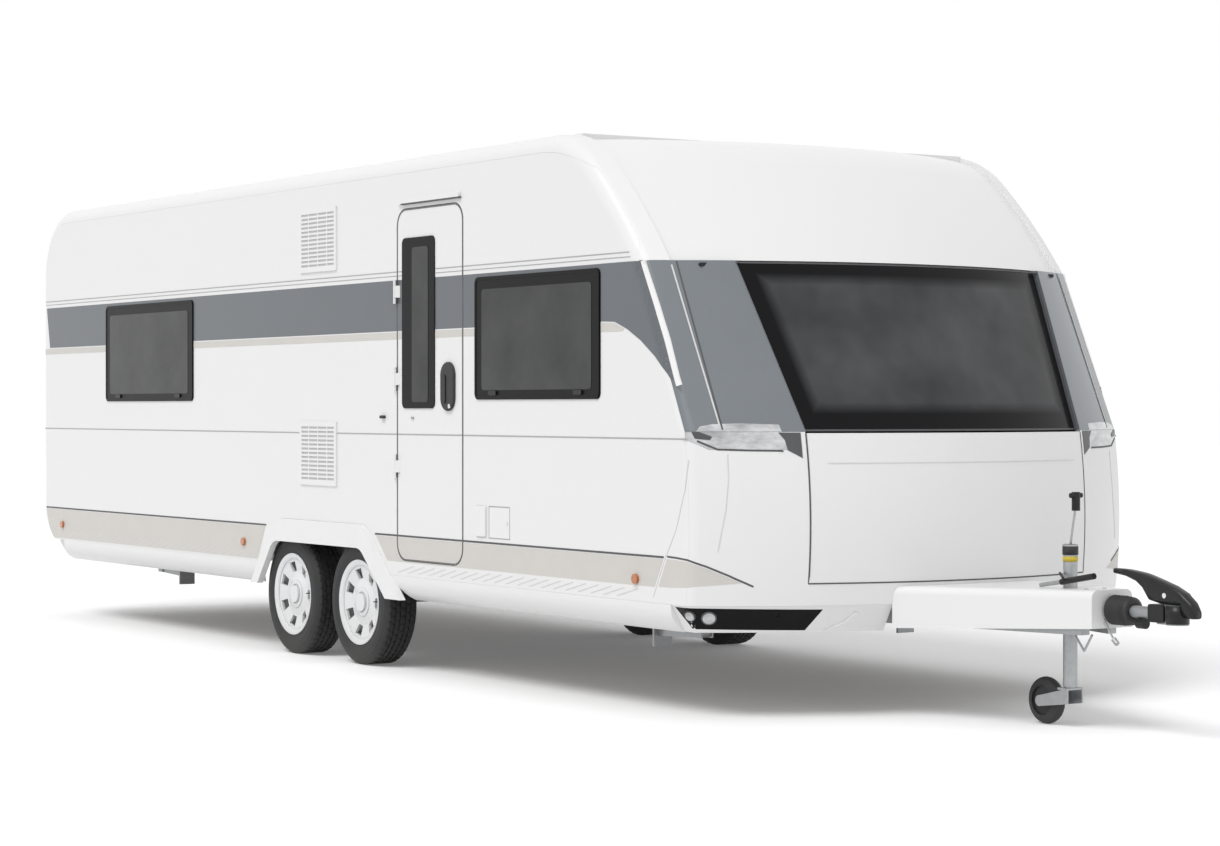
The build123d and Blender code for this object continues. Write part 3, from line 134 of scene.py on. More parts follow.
def surface(name, light, dark, rough, scale, spread, grain, bump, metal=0.0, coat=0.0, stretch=(1, 1, 1),
            grime=None, shine=0.5):
    """A worked surface: two close tones, uneven gloss, fine grain and, if asked, dirt gathered low down.

    Grime is its tone, how much of it there is at most, and the heights where it is thickest and where it ends.
    """
    mat, tree, bsdf = new_material(name)
    vector = coords(tree, stretch)
    cloud = noise_node(tree, vector, scale, 5.0, 0.6)
    fine = noise_node(tree, vector, grain, 2.0)
    colour = mix_node(tree, ramp_node(tree, cloud, 0.0, 1.0, *SOFT), dark, light)
    if grime:
        dirt, most, foot, top = grime
        place = tree.nodes.new("ShaderNodeSeparateXYZ")
        tree.links.new(coords(tree), place.inputs[0])
        low = ramp_node(tree, place.outputs["Z"], most, 0.0, foot, top)
        colour = mix_node(tree, low, colour, dirt)
    tree.links.new(colour, bsdf.inputs["Base Color"])
    tree.links.new(ramp_node(tree, cloud, rough - spread, rough + spread, *SOFT), bsdf.inputs["Roughness"])
    bsdf.inputs["Metallic"].default_value = metal
    bsdf.inputs["Specular IOR Level"].default_value = shine
    bsdf.inputs["Coat Weight"].default_value = coat
    bsdf.inputs["Coat Roughness"].default_value = 0.06
    tree.links.new(bump_node(tree, fine, bump, 0.001), bsdf.inputs["Normal"])
    return mat


def lens(name, tint, dark, rough=0.06, flutes=260.0):
    """A moulded lens: fine flutes behind a clear gloss face."""
    mat, tree, bsdf = new_material(name)
    vector = coords(tree)
    cells = tree.nodes.new("ShaderNodeTexVoronoi")
    cells.inputs["Scale"].default_value = flutes
    tree.links.new(vector, cells.inputs["Vector"])
    colour = mix_node(tree, ramp_node(tree, cells.outputs["Distance"], 0.0, 1.0, 0.0, 0.8), tint, dark)
    tree.links.new(colour, bsdf.inputs["Base Color"])
    bsdf.inputs["Roughness"].default_value = rough + 0.1
    bsdf.inputs["Coat Weight"].default_value = 1.0
    bsdf.inputs["Coat Roughness"].default_value = rough
    tree.links.new(bump_node(tree, cells.outputs["Distance"], 0.25, 0.002), bsdf.inputs["Normal"])
    return mat


def dark_pane(name, light, dark, scale=3.0):
    """Dark acrylic pane with the pale haze of the blinds behind it."""
    mat, tree, bsdf = new_material(name)
    vector = coords(tree)
    haze = noise_node(tree, vector, scale, 3.0, 0.55)
    speck = noise_node(tree, vector, 160.0, 2.0)
    colour = mix_node(tree, ramp_node(tree, haze, 0.0, 1.0, *EVEN), dark, light)
    tree.links.new(colour, bsdf.inputs["Base Color"])
    tree.links.new(ramp_node(tree, speck, 0.12, 0.2), bsdf.inputs["Roughness"])
    bsdf.inputs["Specular IOR Level"].default_value = 0.2
    bsdf.inputs["Coat Weight"].default_value = 0.08
    bsdf.inputs["Coat Roughness"].default_value = 0.05
    tree.links.new(bump_node(tree, haze, 0.02, 0.002), bsdf.inputs["Normal"])
    return mat


WHITE = surface("gelcoat white", (0.80, 0.80, 0.80), (0.79, 0.79, 0.79), 0.30, 3.0, 0.01, 60.0, 0.004,
                coat=0.12, shine=0.4)
TRIM_WHITE = surface("trim white", (0.80, 0.80, 0.80), (0.79, 0.79, 0.79), 0.40, 3.0, 0.01, 60.0, 0.0,
                     shine=0.3)
SIDE_WHITE = surface("sheet white", (0.80, 0.80, 0.80), (0.79, 0.79, 0.79), 0.32, 2.0, 0.01, 60.0, 0.006,
                     coat=0.1, shine=0.35, grime=((0.72, 0.715, 0.70), 0.12, 0.45, 0.75))
GREY = surface("metallic grey", (0.120, 0.133, 0.148), (0.109, 0.122, 0.137), 0.34, 3.0, 0.01, 60.0, 0.004,
               0.1, 0.2)
PLATE_GREY = surface("plate grey", (0.182, 0.199, 0.218), (0.160, 0.177, 0.196), 0.28, 3.0, 0.01, 60.0, 0.004,
                     0.15, 0.4)
BEIGE = surface("beige film", (0.62, 0.60, 0.57), (0.58, 0.56, 0.53), 0.42, 6.0, 0.05, 400.0, 0.03)
SCREEN_GREY = surface("vent screen", (0.52, 0.52, 0.52), (0.45, 0.45, 0.45), 0.5, 60.0, 0.05, 400.0, 0.1)
# dark line: real joints, gaskets and printed lines, and the painted shadows under the head lamp lenses and
# under the lip of the roof cap
LINE = surface("seam dark", (0.09, 0.09, 0.095), (0.06, 0.06, 0.065), 0.55, 20.0, 0.06, 400.0, 0.05)
SOFT_LINE = surface("seam grey", (0.40, 0.40, 0.41), (0.34, 0.34, 0.35), 0.5, 20.0, 0.06, 400.0, 0.05)
FRAME = surface("window border", (0.007, 0.007, 0.008), (0.004, 0.004, 0.005), 0.30, 14.0, 0.05, 500.0, 0.05,
                shine=0.12)
# pale grey line: a real seam on the front corner, painted shade along creases, ribs and under the socket
# cover, and a painted highlight beside the corner seam on the grey plates
SEAM_SHADE_AND_HIGHLIGHT = surface("crease shade", (0.66, 0.66, 0.66), (0.61, 0.61, 0.61), 0.4, 20.0, 0.03, 400.0, 0.03)
BLACK = surface("black moulding", (0.014, 0.014, 0.015), (0.008, 0.008, 0.009), 0.36, 14.0, 0.08, 500.0, 0.08,
                coat=0.15, shine=0.25)
MATT_BLACK = surface("grained black", (0.035, 0.035, 0.036), (0.02, 0.02, 0.021), 0.6, 22.0, 0.1, 350.0, 0.25)
RUBBER = surface("tyre rubber", (0.030, 0.030, 0.031), (0.018, 0.018, 0.019), 0.72, 18.0, 0.08, 260.0, 0.3,
                 grime=((0.10, 0.095, 0.085), 0.35, 0.0, 0.12))
COVER = surface("wheel cover silver", (0.78, 0.79, 0.80), (0.72, 0.73, 0.74), 0.30, 24.0, 0.06, 500.0, 0.05,
                coat=0.4, grime=((0.45, 0.43, 0.40), 0.3, 0.1, 0.4))
STEEL = surface("galvanised steel", (0.46, 0.47, 0.48), (0.34, 0.35, 0.36), 0.42, 30.0, 0.1, 200.0, 0.12, 0.75)
CAST = surface("cast head", (0.40, 0.41, 0.42), (0.30, 0.31, 0.32), 0.5, 40.0, 0.1, 160.0, 0.35, 0.6)
CHROME = surface("bright metal", (0.78, 0.78, 0.79), (0.70, 0.70, 0.71), 0.14, 30.0, 0.04, 300.0, 0.03, 1.0)
LINING = surface("locker lining", (0.52, 0.52, 0.51), (0.46, 0.46, 0.45), 0.6, 8.0, 0.08, 120.0, 0.12)
BOARD = surface("floor board", (0.16, 0.12, 0.085), (0.09, 0.07, 0.05), 0.7, 4.0, 0.08, 60.0, 0.2,
                stretch=(0.4, 6, 6))
AMBER = lens("amber lens", (0.62, 0.20, 0.03), (0.36, 0.09, 0.01))
RED = lens("red lens", (0.45, 0.015, 0.012), (0.2, 0.006, 0.005))
REFLECTOR = surface("lamp reflector", (0.80, 0.81, 0.82), (0.20, 0.21, 0.22), 0.14, 11.0, 0.03, 90.0, 0.05,
                    0.3, 1.0, stretch=(1, 1, 2.4))
TONGUE = surface("lamp tongue", (0.075, 0.077, 0.08), (0.05, 0.052, 0.054), 0.35, 12.0, 0.05, 300.0, 0.05,
                 coat=0.2)
EDGE = surface("door edge", (0.15, 0.15, 0.155), (0.12, 0.12, 0.125), 0.5, 20.0, 0.05, 400.0, 0.05)
CLEAR = lens("clear lens", (0.74, 0.76, 0.78), (0.36, 0.37, 0.38), 0.05, 120.0)
SMOKED = lens("smoked dome", (0.15, 0.16, 0.17), (0.11, 0.12, 0.13), 0.08, 30.0)
PANE = dark_pane("window pane", (0.059, 0.060, 0.062), (0.024, 0.025, 0.026))
YELLOW = surface("yellow tag", (0.65, 0.5, 0.04), (0.5, 0.38, 0.03), 0.5, 30.0, 0.06, 300.0, 0.05)


# front window: height of its foot, half width there, how that grows, and the clear pane inside the border
SCREEN_FOOT, SCREEN_HALF, SCREEN_FLARE = 1.235, 0.778, 0.12
CLEAR_FOOT, CLEAR_TOP, BORDER = 1.312, 1.93, 0.075
PRINT, DEEP_PANE, HAZY_PANE = (0.004, 0.004, 0.005), (0.026, 0.027, 0.028), (0.085, 0.087, 0.09)


def screen_material():
    """Front window: a black printed border round a hazy dark pane."""
    mat, tree, bsdf = new_material("front window")
    place = tree.nodes.new("ShaderNodeSeparateXYZ")
    vector = coords(tree)
    tree.links.new(vector, place.inputs[0])

    def sums(kind, first, second):
        node = tree.nodes.new("ShaderNodeMath")
        node.operation = kind
        for socket, value in ((node.inputs[0], first), (node.inputs[1], second)):
            if isinstance(value, float):
                socket.default_value = value
            else:
                tree.links.new(value, socket)
        return node.outputs[0]

    side = sums("ABSOLUTE", place.outputs["Y"], 0.0)
    slope = sums("MULTIPLY", sums("SUBTRACT", place.outputs["Z"], SCREEN_FOOT), SCREEN_FLARE)
    edge = sums("SUBTRACT", sums("ADD", slope, SCREEN_HALF), side)
    low = sums("SUBTRACT", place.outputs["Z"], CLEAR_FOOT)
    high = sums("SUBTRACT", CLEAR_TOP, place.outputs["Z"])
    inside = sums("MINIMUM", sums("SUBTRACT", edge, BORDER), sums("MINIMUM", low, high))
    mask = ramp_node(tree, inside, 0.0, 1.0, 0.0, 0.05)
    haze = noise_node(tree, vector, 2.2, 3.0, 0.55)
    glow = mix_node(tree, ramp_node(tree, haze, 0.0, 1.0, *EVEN), DEEP_PANE, HAZY_PANE)
    tree.links.new(mix_node(tree, mask, PRINT, glow), bsdf.inputs["Base Color"])
    bsdf.inputs["Roughness"].default_value = 0.16
    bsdf.inputs["Specular IOR Level"].default_value = 0.12
    bsdf.inputs["Coat Weight"].default_value = 0.04
    bsdf.inputs["Coat Roughness"].default_value = 0.05
    tree.links.new(bump_node(tree, haze, 0.02, 0.002), bsdf.inputs["Normal"])
    return mat


SCREEN = screen_material()

LOOKS = (
    (SIDE_WHITE, ("side_wall_right", "side_wall_left", "door_leaf")),
    (TRIM_WHITE, ("edge_trim_right", "edge_trim_left")),
    (WHITE, ("rear_wall", "roof_panel", "front_roof_cap", "front_locker_lid", "front_apron", "side_skirt_left",
             "side_skirt_right", "rear_bumper", "drawbar_cover", "fridge_vents", "service_flap", "nose_panel",
             "awning_lamp", "door_frame")),
    (PLATE_GREY, ("corner_plate_right", "corner_plate_left")),
    (FRAME, ("windows_right", "windows_left", "rear_window", "door_window")),
    (SCREEN, ("windscreen",)),
    (SMOKED, ("roof_light_front", "roof_light_rear")),
    (REFLECTOR, ("headlamps",)),
    (AMBER, ("marker_lamps",)),
    (RED, ("tail_lamps",)),
    (LINING, ("locker_lining", "wheel_boxes")),
    (BOARD, ("floor_panel",)),
    (MATT_BLACK, ("door_handle", "handbrake_lever", "coupling_bellows", "jockey_wheel")),
    (STEEL, ("axles", "chassis_rail_right", "chassis_rail_left", "cross_members", "overrun_housing",
             "jockey_tube", "jockey_fork", "steady_rear_right", "steady_rear_left", "steady_front_right",
             "steady_front_left")),
    (CAST, ("coupling_head",)),
    (BLACK, ("coupling_handle",)),
    (RUBBER, ("tyre_front_left", "tyre_front_right", "tyre_rear_left", "tyre_rear_right")),
    (COVER, ("wheel_front_left", "wheel_front_right", "wheel_rear_left", "wheel_rear_right")),
)
for look, names in LOOKS:
    for name in names:
        node = NODES[name]
        node.data.materials.clear()
        node.data.materials.append(look)


# Building pieces
def make(name, verts, faces, mat, body, slot, smooth=False):
    """A piece from its points and faces, riding on a CAD body."""
    name = name.replace(" ", "_")
    mesh = bpy.data.meshes.new(name)
    mesh.from_pydata([tuple(v) for v in verts], [], faces)
    mesh.validate()
    bm = bmesh.new()
    bm.from_mesh(mesh)
    bmesh.ops.recalc_face_normals(bm, faces=bm.faces)
    bm.to_mesh(mesh)
    bm.free()
    if smooth:
        mesh.polygons.foreach_set("use_smooth", [True] * len(mesh.polygons))
    mesh.materials.append(mat)
    obj = bpy.data.objects.new(name, mesh)
    bpy.context.scene.collection.objects.link(obj)
    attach(obj, body)
    return obj


def surface_tree(names):
    """The outer faces of some CAD nodes, to lay thin pieces on."""
    verts, faces = [], []
    for name in names:
        mesh = NODES[name].data
        base = len(verts)
        verts += [v.co.copy() for v in mesh.vertices]
        faces += [tuple(base + i for i in poly.vertices) for poly in mesh.polygons]
    return BVHTree.FromPolygons(verts, faces)


def caster(names, axis, sign):
    """A function that gives the surface point seen along an axis at two plane coordinates."""
    tree = surface_tree(names)
    way = Vector((0, 0, 0))
    way[axis] = -sign

    def cast(u, v, lift, last=[None]):
        depths = []
        for beside in (-GAP_REACH, 0, GAP_REACH):
            found = tree.ray_cast(Vector(in_space(axis, FAR * sign, u + beside, v)), way)
            if found[0] is not None:
                depths.append(found[0][axis] * sign)
        if depths:
            last[0] = max(depths)
        return Vector(in_space(axis, ((last[0] or 0.0) + lift) * sign, u, v))

    return cast


def film(name, flat, faces, cast, lift, thick, mat, body, slot):
    """A thin solid over a net of faces given in plane coordinates."""
    low, high = ([cast(p[0], p[1], height) for p in flat] for height in (lift, lift + thick))
    return thicken(name, low, high, faces, mat, body, slot)


def sheet_on(name, outline, cast, mat, body=HOST, slot="body_white", step=0.05, lift=0.0004, thick=0.0006):
    """A thin film laid on a surface, cut to an outline given in plane coordinates."""
    us, vs = [p[0] for p in outline], [p[1] for p in outline]
    points = [Vector(p) for p in outline]
    ring = []
    for i, p in enumerate(points):
        q = points[(i + 1) % len(points)]
        count = max(1, int((q - p).length / step))
        ring += [p + (q - p) * k / count for k in range(count)]
    inner = []
    nu, nv = int((max(us) - min(us)) / step), int((max(vs) - min(vs)) / step)
    for i in range(1, nu + 1):
        for j in range(1, nv + 1):
            inner.append(Vector((min(us) + (i - 0.5) * step, min(vs) + (j - 0.5) * step)))
    edges = [(i, (i + 1) % len(ring)) for i in range(len(ring))]
    flat, _, faces, *_ = delaunay_2d_cdt(ring + inner, edges, [list(range(len(ring)))], 1, 1e-5)
    return film(name, flat, faces, cast, lift, thick, mat, body, slot)


def thicken(name, low, high, faces, mat, body, slot):
    """A closed thin solid between two copies of one net of faces."""
    count = len(low)
    edges = dict.fromkeys(pair for face in faces for pair in zip(face, list(face[1:]) + [face[0]]))
    rims = [(a, b) for a, b in edges if (b, a) not in edges]
    solid = [list(f) for f in faces] + [[i + count for i in reversed(f)] for f in faces]
    solid += [[b, a, a + count, b + count] for a, b in rims]
    return make(name, list(low) + list(high), solid, mat, body, slot)


def ribbon(name, path, width, cast, mat, body=HOST, slot="body_white", step=0.03, lift=0.0005, thick=0.0007):
    """A narrow line laid on a surface along a path given in plane coordinates."""
    points = [Vector(p) for p in path]
    line = []
    for p, q in zip(points, points[1:]):
        count = max(1, int((q - p).length / step))
        line += [p + (q - p) * k / count for k in range(count)]
    line.append(points[-1])
    left, right = [], []
    total = len(line)
    for i, p in enumerate(line):
        before, after = line[max(i - 1, 0)], line[min(i + 1, total - 1)]
        way = (after - before).normalized()
        across = Vector((-way[1], way[0])) * width / 2
        left.append(p + across)
        right.append(p - across)
    faces = [(i, i + 1, total + i + 1, total + i) for i in range(total - 1)]
    return film(name, left + right, faces, cast, lift, thick, mat, body, slot)


def rounded(u0, v0, u1, v1, radius, steps=6):
    """Outline of a rounded rectangle."""
    points = []
    for cu, cv, start in ((u1 - radius, v1 - radius, 0), (u0 + radius, v1 - radius, 90),
                          (u0 + radius, v0 + radius, 180), (u1 - radius, v0 + radius, 270)):
        for k in range(steps + 1):
            turn = math.radians(start + 90 * k / steps)
            points.append((cu + radius * math.cos(turn), cv + radius * math.sin(turn)))
    return points


def in_space(axis, depth, u, v):
    """A point at a depth along one axis and at two coordinates across it."""
    point = [u, v]
    point.insert(axis, depth)
    return point


def prism(name, outline, axis, start, end, mat, body, slot):
    """A straight solid with an outline across one axis."""
    verts = [in_space(axis, depth, u, v) for depth in (start, end) for u, v in outline]
    n = len(outline)
    faces = [list(range(n)), [n + i for i in reversed(range(n))]]
    faces += [[i, (i + 1) % n, n + (i + 1) % n, n + i] for i in range(n)]
    return make(name, verts, faces, mat, body, slot)


def frame_ring(name, outer, inner, axis, start, end, mat, body, slot):
    """A flat ring between two outlines with as many points each."""
    verts = [in_space(axis, depth, u, v) for depth in (start, end) for outline in (outer, inner)
             for u, v in outline]
    n = len(outer)
    faces = []
    for i in range(n):
        j = (i + 1) % n
        faces += [[i, j, n + j, n + i], [2 * n + i, 3 * n + i, 3 * n + j, 2 * n + j],
                  [i, 2 * n + i, 2 * n + j, j], [n + i, n + j, 3 * n + j, 3 * n + i]]
    return make(name, verts, faces, mat, body, slot)


def lathe(name, profile, centre, axis, mat, body, slot, turns=48, dent=None, smooth=True):
    """A turned solid: profile pairs are (along the axis, radius), closed on itself."""
    others = [i for i in range(3) if i != axis]
    verts, faces = [], []
    n = len(profile)
    for k in range(turns):
        turn = 2 * math.pi * k / turns
        for i, (along, radius) in enumerate(profile):
            if dent:
                radius += dent(i, k)
            point = list(centre)
            point[axis] += along
            point[others[0]] += radius * math.cos(turn)
            point[others[1]] += radius * math.sin(turn)
            verts.append(point)
    for k in range(turns):
        for i in range(n):
            a, b = k * n + i, k * n + (i + 1) % n
            c, d = ((k + 1) % turns) * n + (i + 1) % n, ((k + 1) % turns) * n + i
            faces.append([a, b, c, d])
    return make(name, verts, faces, mat, body, slot, smooth)


def rod(name, start, end, radius, mat, body=HOST, slot="black_plastic", sides=16):
    """A round bar between two points."""
    a, b = Vector(start), Vector(end)
    turn = (b - a).to_track_quat("Z", "Y").to_matrix()
    verts = []
    for base in (a, b):
        for k in range(sides):
            angle = 2 * math.pi * k / sides
            verts.append(base + turn @ Vector((radius * math.cos(angle), radius * math.sin(angle), 0)))
    faces = [list(range(sides)), [sides + i for i in reversed(range(sides))]]
    faces += [[i, (i + 1) % sides, sides + (i + 1) % sides, sides + i] for i in range(sides)]
    return make(name, verts, faces, mat, body, slot)


def inset_box(u0, v0, u1, v1, inset, radius):
    """Outline of a rounded rectangle drawn in from a box by a margin."""
    return rounded(u0 + inset, v0 + inset, u1 - inset, v1 - inset, radius)


def x_list(points):
    """Plane coordinates on a side of points given as distance ahead of the rear wall and height."""
    return [(at(x), z) for x, z in points]


def wall_box(x0, z0, x1, z1, radius):
    """Rounded rectangle on a side, given as distances ahead of the rear wall and heights."""
    return rounded(at(x0), z0, at(x1), z1, radius)


def wall_piece(name, outline, near, far, mat, body=HOST, slot="black_plastic", side=RIGHT):
    """A flat piece on a side wall, from one distance off its face to another."""
    return prism(name, outline, 1, side * (SIDE_Y + near), side * (SIDE_Y + far), mat, body, slot)


def wall_ring(name, outer, inner, near, far, mat, body=HOST, slot="black_plastic", side=RIGHT):
    """A flat ring on a side wall, from one distance off its face to another."""
    return frame_ring(name, outer, inner, 1, side * (SIDE_Y + near), side * (SIDE_Y + far), mat, body, slot)


def wall_film(name, outline, mat, body, side=RIGHT):
    """A coloured film on a side wall, cut to distances ahead of the rear wall and heights."""
    face, slot = (GREY_FACE, "panel_grey") if mat == GREY else (BEIGE_FACE, "lining")
    wall_piece(name, x_list(outline), FILM_BACK, face, mat, body, slot, side)


def door_strip(low, high):
    """Outline of a strip right across the door."""
    return [(DOOR_REAR, low), (DOOR_FRONT, low), (DOOR_FRONT, high), (DOOR_REAR, high)]


def door_foot(x0, z0, x1, radius, top=FOOT_TOP):
    """The rounded foot of the door below a height, from its front edge to its rear edge."""
    curve = [p for p in rounded(x0, z0, x1, z0 + 1, radius) if p[1] < top]
    return [(x1, top)] + curve[::-1] + [(x0, top)]


# Sides
BAND_END = [(BAND_FRONT, BAND_TOP), (BAND_FRONT, BAND_FOOT), (6.935, 1.720), (7.038, 1.685), (7.148, 1.632),
            (7.258, 1.562), (7.348, 1.487), (7.401, 1.428), (7.428, 1.406), (7.348, 1.566), (7.264, 1.728),
            (7.190, 1.874), (7.123, BAND_TOP)]
BAND_REAR = [(0.085, BAND_TOP), (0.14, BAND_FOOT)]
UNDER_REAR = [(0.06, UNDER_FOOT), (0.06, UNDER_TOP)]
UNDER_FRONT = [(6.82, UNDER_TOP), (6.93, 1.713), (7.01, 1.688), (7.0, 1.676)]
WALL_LINES = (
    ("moulding line a", 0.07, 7.05, 2.024, 0.005, SOFT_LINE),
    ("moulding line b", 0.07, 7.06, 2.003, 0.004, SOFT_LINE),
    ("middle seam", 0.05, 7.49, 1.204, 0.006, SOFT_LINE),
    ("dark foot line rear", 0.075, 3.37, 0.692, 0.009, LINE),
    ("dark foot line front", 4.655, 7.326, 0.692, 0.009, LINE),
)
# painted shade lines of the ribs behind and ahead of the wheels: distance of the first, spacing, count; then
# their lean and heights
RIBS = ((0.42, 0.105, 26), (4.90, 0.108, 20))
RIB_LEAN, RIB_FOOT, RIB_TOP = 0.17, 0.505, 0.545
TRIM_PATH = [(7.137, BAND_TOP), (7.235, 1.794), (7.317, 1.631), (7.391, 1.472), (7.410, 1.434)]
SEAM_PATH = [(7.505, 1.115), (7.490, 0.987), (7.421, 0.813), (7.328, 0.672), (7.245, 0.515)]
# windows: distance ahead of the rear wall, height of the foot, width, height
BOTH_SIDES = [(1.09, 1.377, 1.31, 0.588), (5.69, 1.377, 1.127, 0.588)]
LEFT_ONLY = [(3.42, 1.377, 0.95, 0.588), (2.76, 1.635, 0.42, 0.33)]
SMALL_WINDOW = 0.6
WIDE_RIM, SLIM_RIM, RIM_FOOT, RIM_TOP = 0.07, 0.045, 0.045, 0.06
CATCH_REACH, CATCH_FOOT, CATCH_TOP = 0.035, 0.02, 0.042

for side, tag in ((RIGHT, "right"), (LEFT, "left")):
    def flat(u, v, lift, side=side):
        return Vector((u, side * (SIDE_Y + lift), v))

    # the grey band under the roof seam, with its curved end ahead of the front window
    past_edge = caster([f"side_wall_{tag}", f"corner_plate_{tag}", "nose_panel"], 1, side)
    sheet_on(f"band end {tag}", x_list(BAND_END), past_edge, GREY, HOST, "panel_grey", 0.03, lift=0.0016)
    if side == LEFT:
        bands = [BAND_REAR[1:] + BAND_END[1::-1] + BAND_REAR[:1]]
        unders = [UNDER_REAR + UNDER_FRONT]
    else:
        bands = [BAND_REAR[1:] + [(CUT_REAR, BAND_FOOT), (CUT_REAR, BAND_TOP)] + BAND_REAR[:1],
                 [(CUT_FRONT, BAND_FOOT)] + BAND_END[1::-1] + [(CUT_FRONT, BAND_TOP)]]
        unders = [UNDER_REAR + [(CUT_REAR, UNDER_TOP), (CUT_REAR, UNDER_FOOT)],
                  [(CUT_FRONT, UNDER_FOOT), (CUT_FRONT, UNDER_TOP)] + UNDER_FRONT]
        wall_film("band on the door", door_strip(BAND_FOOT, BAND_TOP), GREY, DOOR)
        wall_film("under line on the door", door_strip(UNDER_FOOT, UNDER_TOP), BEIGE, DOOR)
    for number, outline in enumerate(bands):
        wall_film(f"grey band {tag} {number}", outline, GREY, HOST, side)
    for number, outline in enumerate(unders):
        wall_film(f"under line {tag} {number}", outline, BEIGE, HOST, side)

    # the pale band along the foot, with its own piece on the door
    below_door = []
    if side == RIGHT:
        below_door = door_foot(4.892, 0.566, 5.572, 0.090)
        wall_film("pale band on the door", door_foot(4.9035, 0.5775, 5.5605, 0.079), BEIGE, DOOR)
    pale = [[(0.13, 0.56), (0.2, 0.50), (3.262, 0.50), (3.36, FOOT_TOP), (0.075, FOOT_TOP)],
            [(4.79, 0.56), (7.255, 0.56), (7.322, FOOT_TOP)] + below_door + [(4.665, FOOT_TOP)]]
    for number, outline in enumerate(pale):
        wall_film(f"pale band {tag} {number}", outline, BEIGE, HOST, side)

    # long seams, parted where the door cuts through them
    for name, x0, x1, z, width, mat in WALL_LINES:
        parts = [(x0, x1)]
        if side == RIGHT and x0 < CUT_REAR < CUT_FRONT < x1:
            parts = [(x0, SEAM_REAR), (SEAM_FRONT, x1)]
            ribbon(f"{name} on the door", x_list([(DOOR_REAR, z), (DOOR_FRONT, z)]), width, flat, mat, DOOR,
                   "black_plastic", step=1.0)
        for number, (start, end) in enumerate(parts):
            ribbon(f"{name} {tag} {number}", x_list([(start, z), (end, z)]), width, flat, mat, HOST,
                   "black_plastic", step=1.0)

    # painted shade lines for the slanting ribs pressed into the foot of the wall behind and ahead of the
    # wheels
    starts = [first + number * pitch for first, pitch, count in RIBS for number in range(count)]
    for number, start in enumerate(starts):
        path = [(start, RIB_FOOT), (start + RIB_LEAN, RIB_TOP)]
        ribbon(f"slant rib {tag} {number}", x_list(path), 0.004, flat, SEAM_SHADE_AND_HIGHLIGHT, step=1.0)

    # window glass inside the black borders, with its catches
    for number, (x, z, width, height) in enumerate(BOTH_SIDES + (LEFT_ONLY if side == LEFT else [])):
        u0, u1, top = at(x), at(x + width), z + height
        rim = WIDE_RIM if width > SMALL_WINDOW else SLIM_RIM
        glass = rounded(u0 + rim, z + RIM_FOOT, u1 - rim, top - RIM_TOP, 0.02)
        wall_piece(f"window glass {tag} {number}", glass, PANE_BACK, PANE_FACE, PANE, HOST, "dark_glass", side)
        wall_ring(f"window rim {tag} {number}", inset_box(u0, z, u1, top, 0.004, 0.028),
                  inset_box(u0, z, u1, top, 0.016, 0.018), PANE_BACK, 0.0085, FRAME, side=side)
        for end in (0.16, 0.84) if width > SMALL_WINDOW else (0.5,):
            middle = at(x + width * end)
            catch = rounded(middle - CATCH_REACH, z + CATCH_FOOT, middle + CATCH_REACH, z + CATCH_TOP, 0.008)
            wall_piece(f"window catch {tag} {number} {end}", catch, PANE_BACK, 0.014, BLACK, side=side)

    # white trim strip ahead of the grey band, and the seam that runs on below it to the foot
    ribbon(f"trim strip {tag}", x_list(TRIM_PATH), 0.016, past_edge, WHITE, lift=-0.002, thick=0.0055)
    ribbon(f"front seam {tag}", x_list(SEAM_PATH), 0.004, past_edge, SEAM_SHADE_AND_HIGHLIGHT)

# Entrance door, service flap and what stands beside them
LEAF = (at(4.897), 0.571, at(5.567), 2.335)
wall_ring("door gasket", inset_box(*LEAF, -0.0044, 0.0894), inset_box(*LEAF, -0.0006, 0.0856), 0.0012, -0.012,
          LINE)
wall_ring("door edge bead", inset_box(*LEAF, 0.0008, 0.084), inset_box(*LEAF, 0.006, 0.079), 0.0014, 0.0002,
          EDGE, DOOR)
FIXTURES = (
    ("door glass", (5.062, 1.366, 5.228, 2.140, 0.02), PANE_BACK, PANE_FACE, PANE, DOOR, "dark_glass"),
    ("door handle grip", (5.395, 1.36, 5.425, 1.50, 0.014), 0.0158, 0.021, BLACK, DOOR, "black_plastic"),
    ("door lock barrel", (5.45, 1.335, 5.472, 1.357, 0.0105), 0.0158, 0.019, CHROME, DOOR, "galvanised_steel"),
    ("door catch", (4.732, 1.283, 4.772, 1.299, 0.007), FILM_BACK, 0.016, MATT_BLACK, HOST, "black_plastic"),
    ("door stay point", (5.05, 1.281, 5.072, 1.293, 0.005), FILM_BACK, 0.006, SOFT_LINE, DOOR,
     "black_plastic"),
    ("awning lamp shade", (4.955, 2.357, 5.555, 2.364, 0.003), 0.002, 0.0145, LINE, HOST, "black_plastic"),
)
for name, box, near, far, mat, body, slot in FIXTURES:
    wall_piece(name, wall_box(*box), near, far, mat, body, slot)
SOCKET = wall_box(5.704, 0.722, 5.796, 0.868, 0.008)
wall_ring("service flap gasket", wall_box(5.8175, 0.7135, 6.0165, 0.8685, 0.005),
          wall_box(5.8215, 0.7175, 6.0125, 0.8645, 0.003), 0.0006, -0.01, SOFT_LINE)
wall_piece("socket cover", SOCKET, FILM_BACK, 0.009, WHITE, HOST, "body_white")
wall_ring("socket cover shadow", wall_box(5.699, 0.714, 5.801, 0.871, 0.010), SOCKET, 0.0006, -0.003, SEAM_SHADE_AND_HIGHLIGHT)
wall_piece("service flap lock", wall_box(5.985, 0.783, 5.999, 0.797, 0.0065), FILM_BACK, 0.004, CHROME, "flap",
           "galvanised_steel")

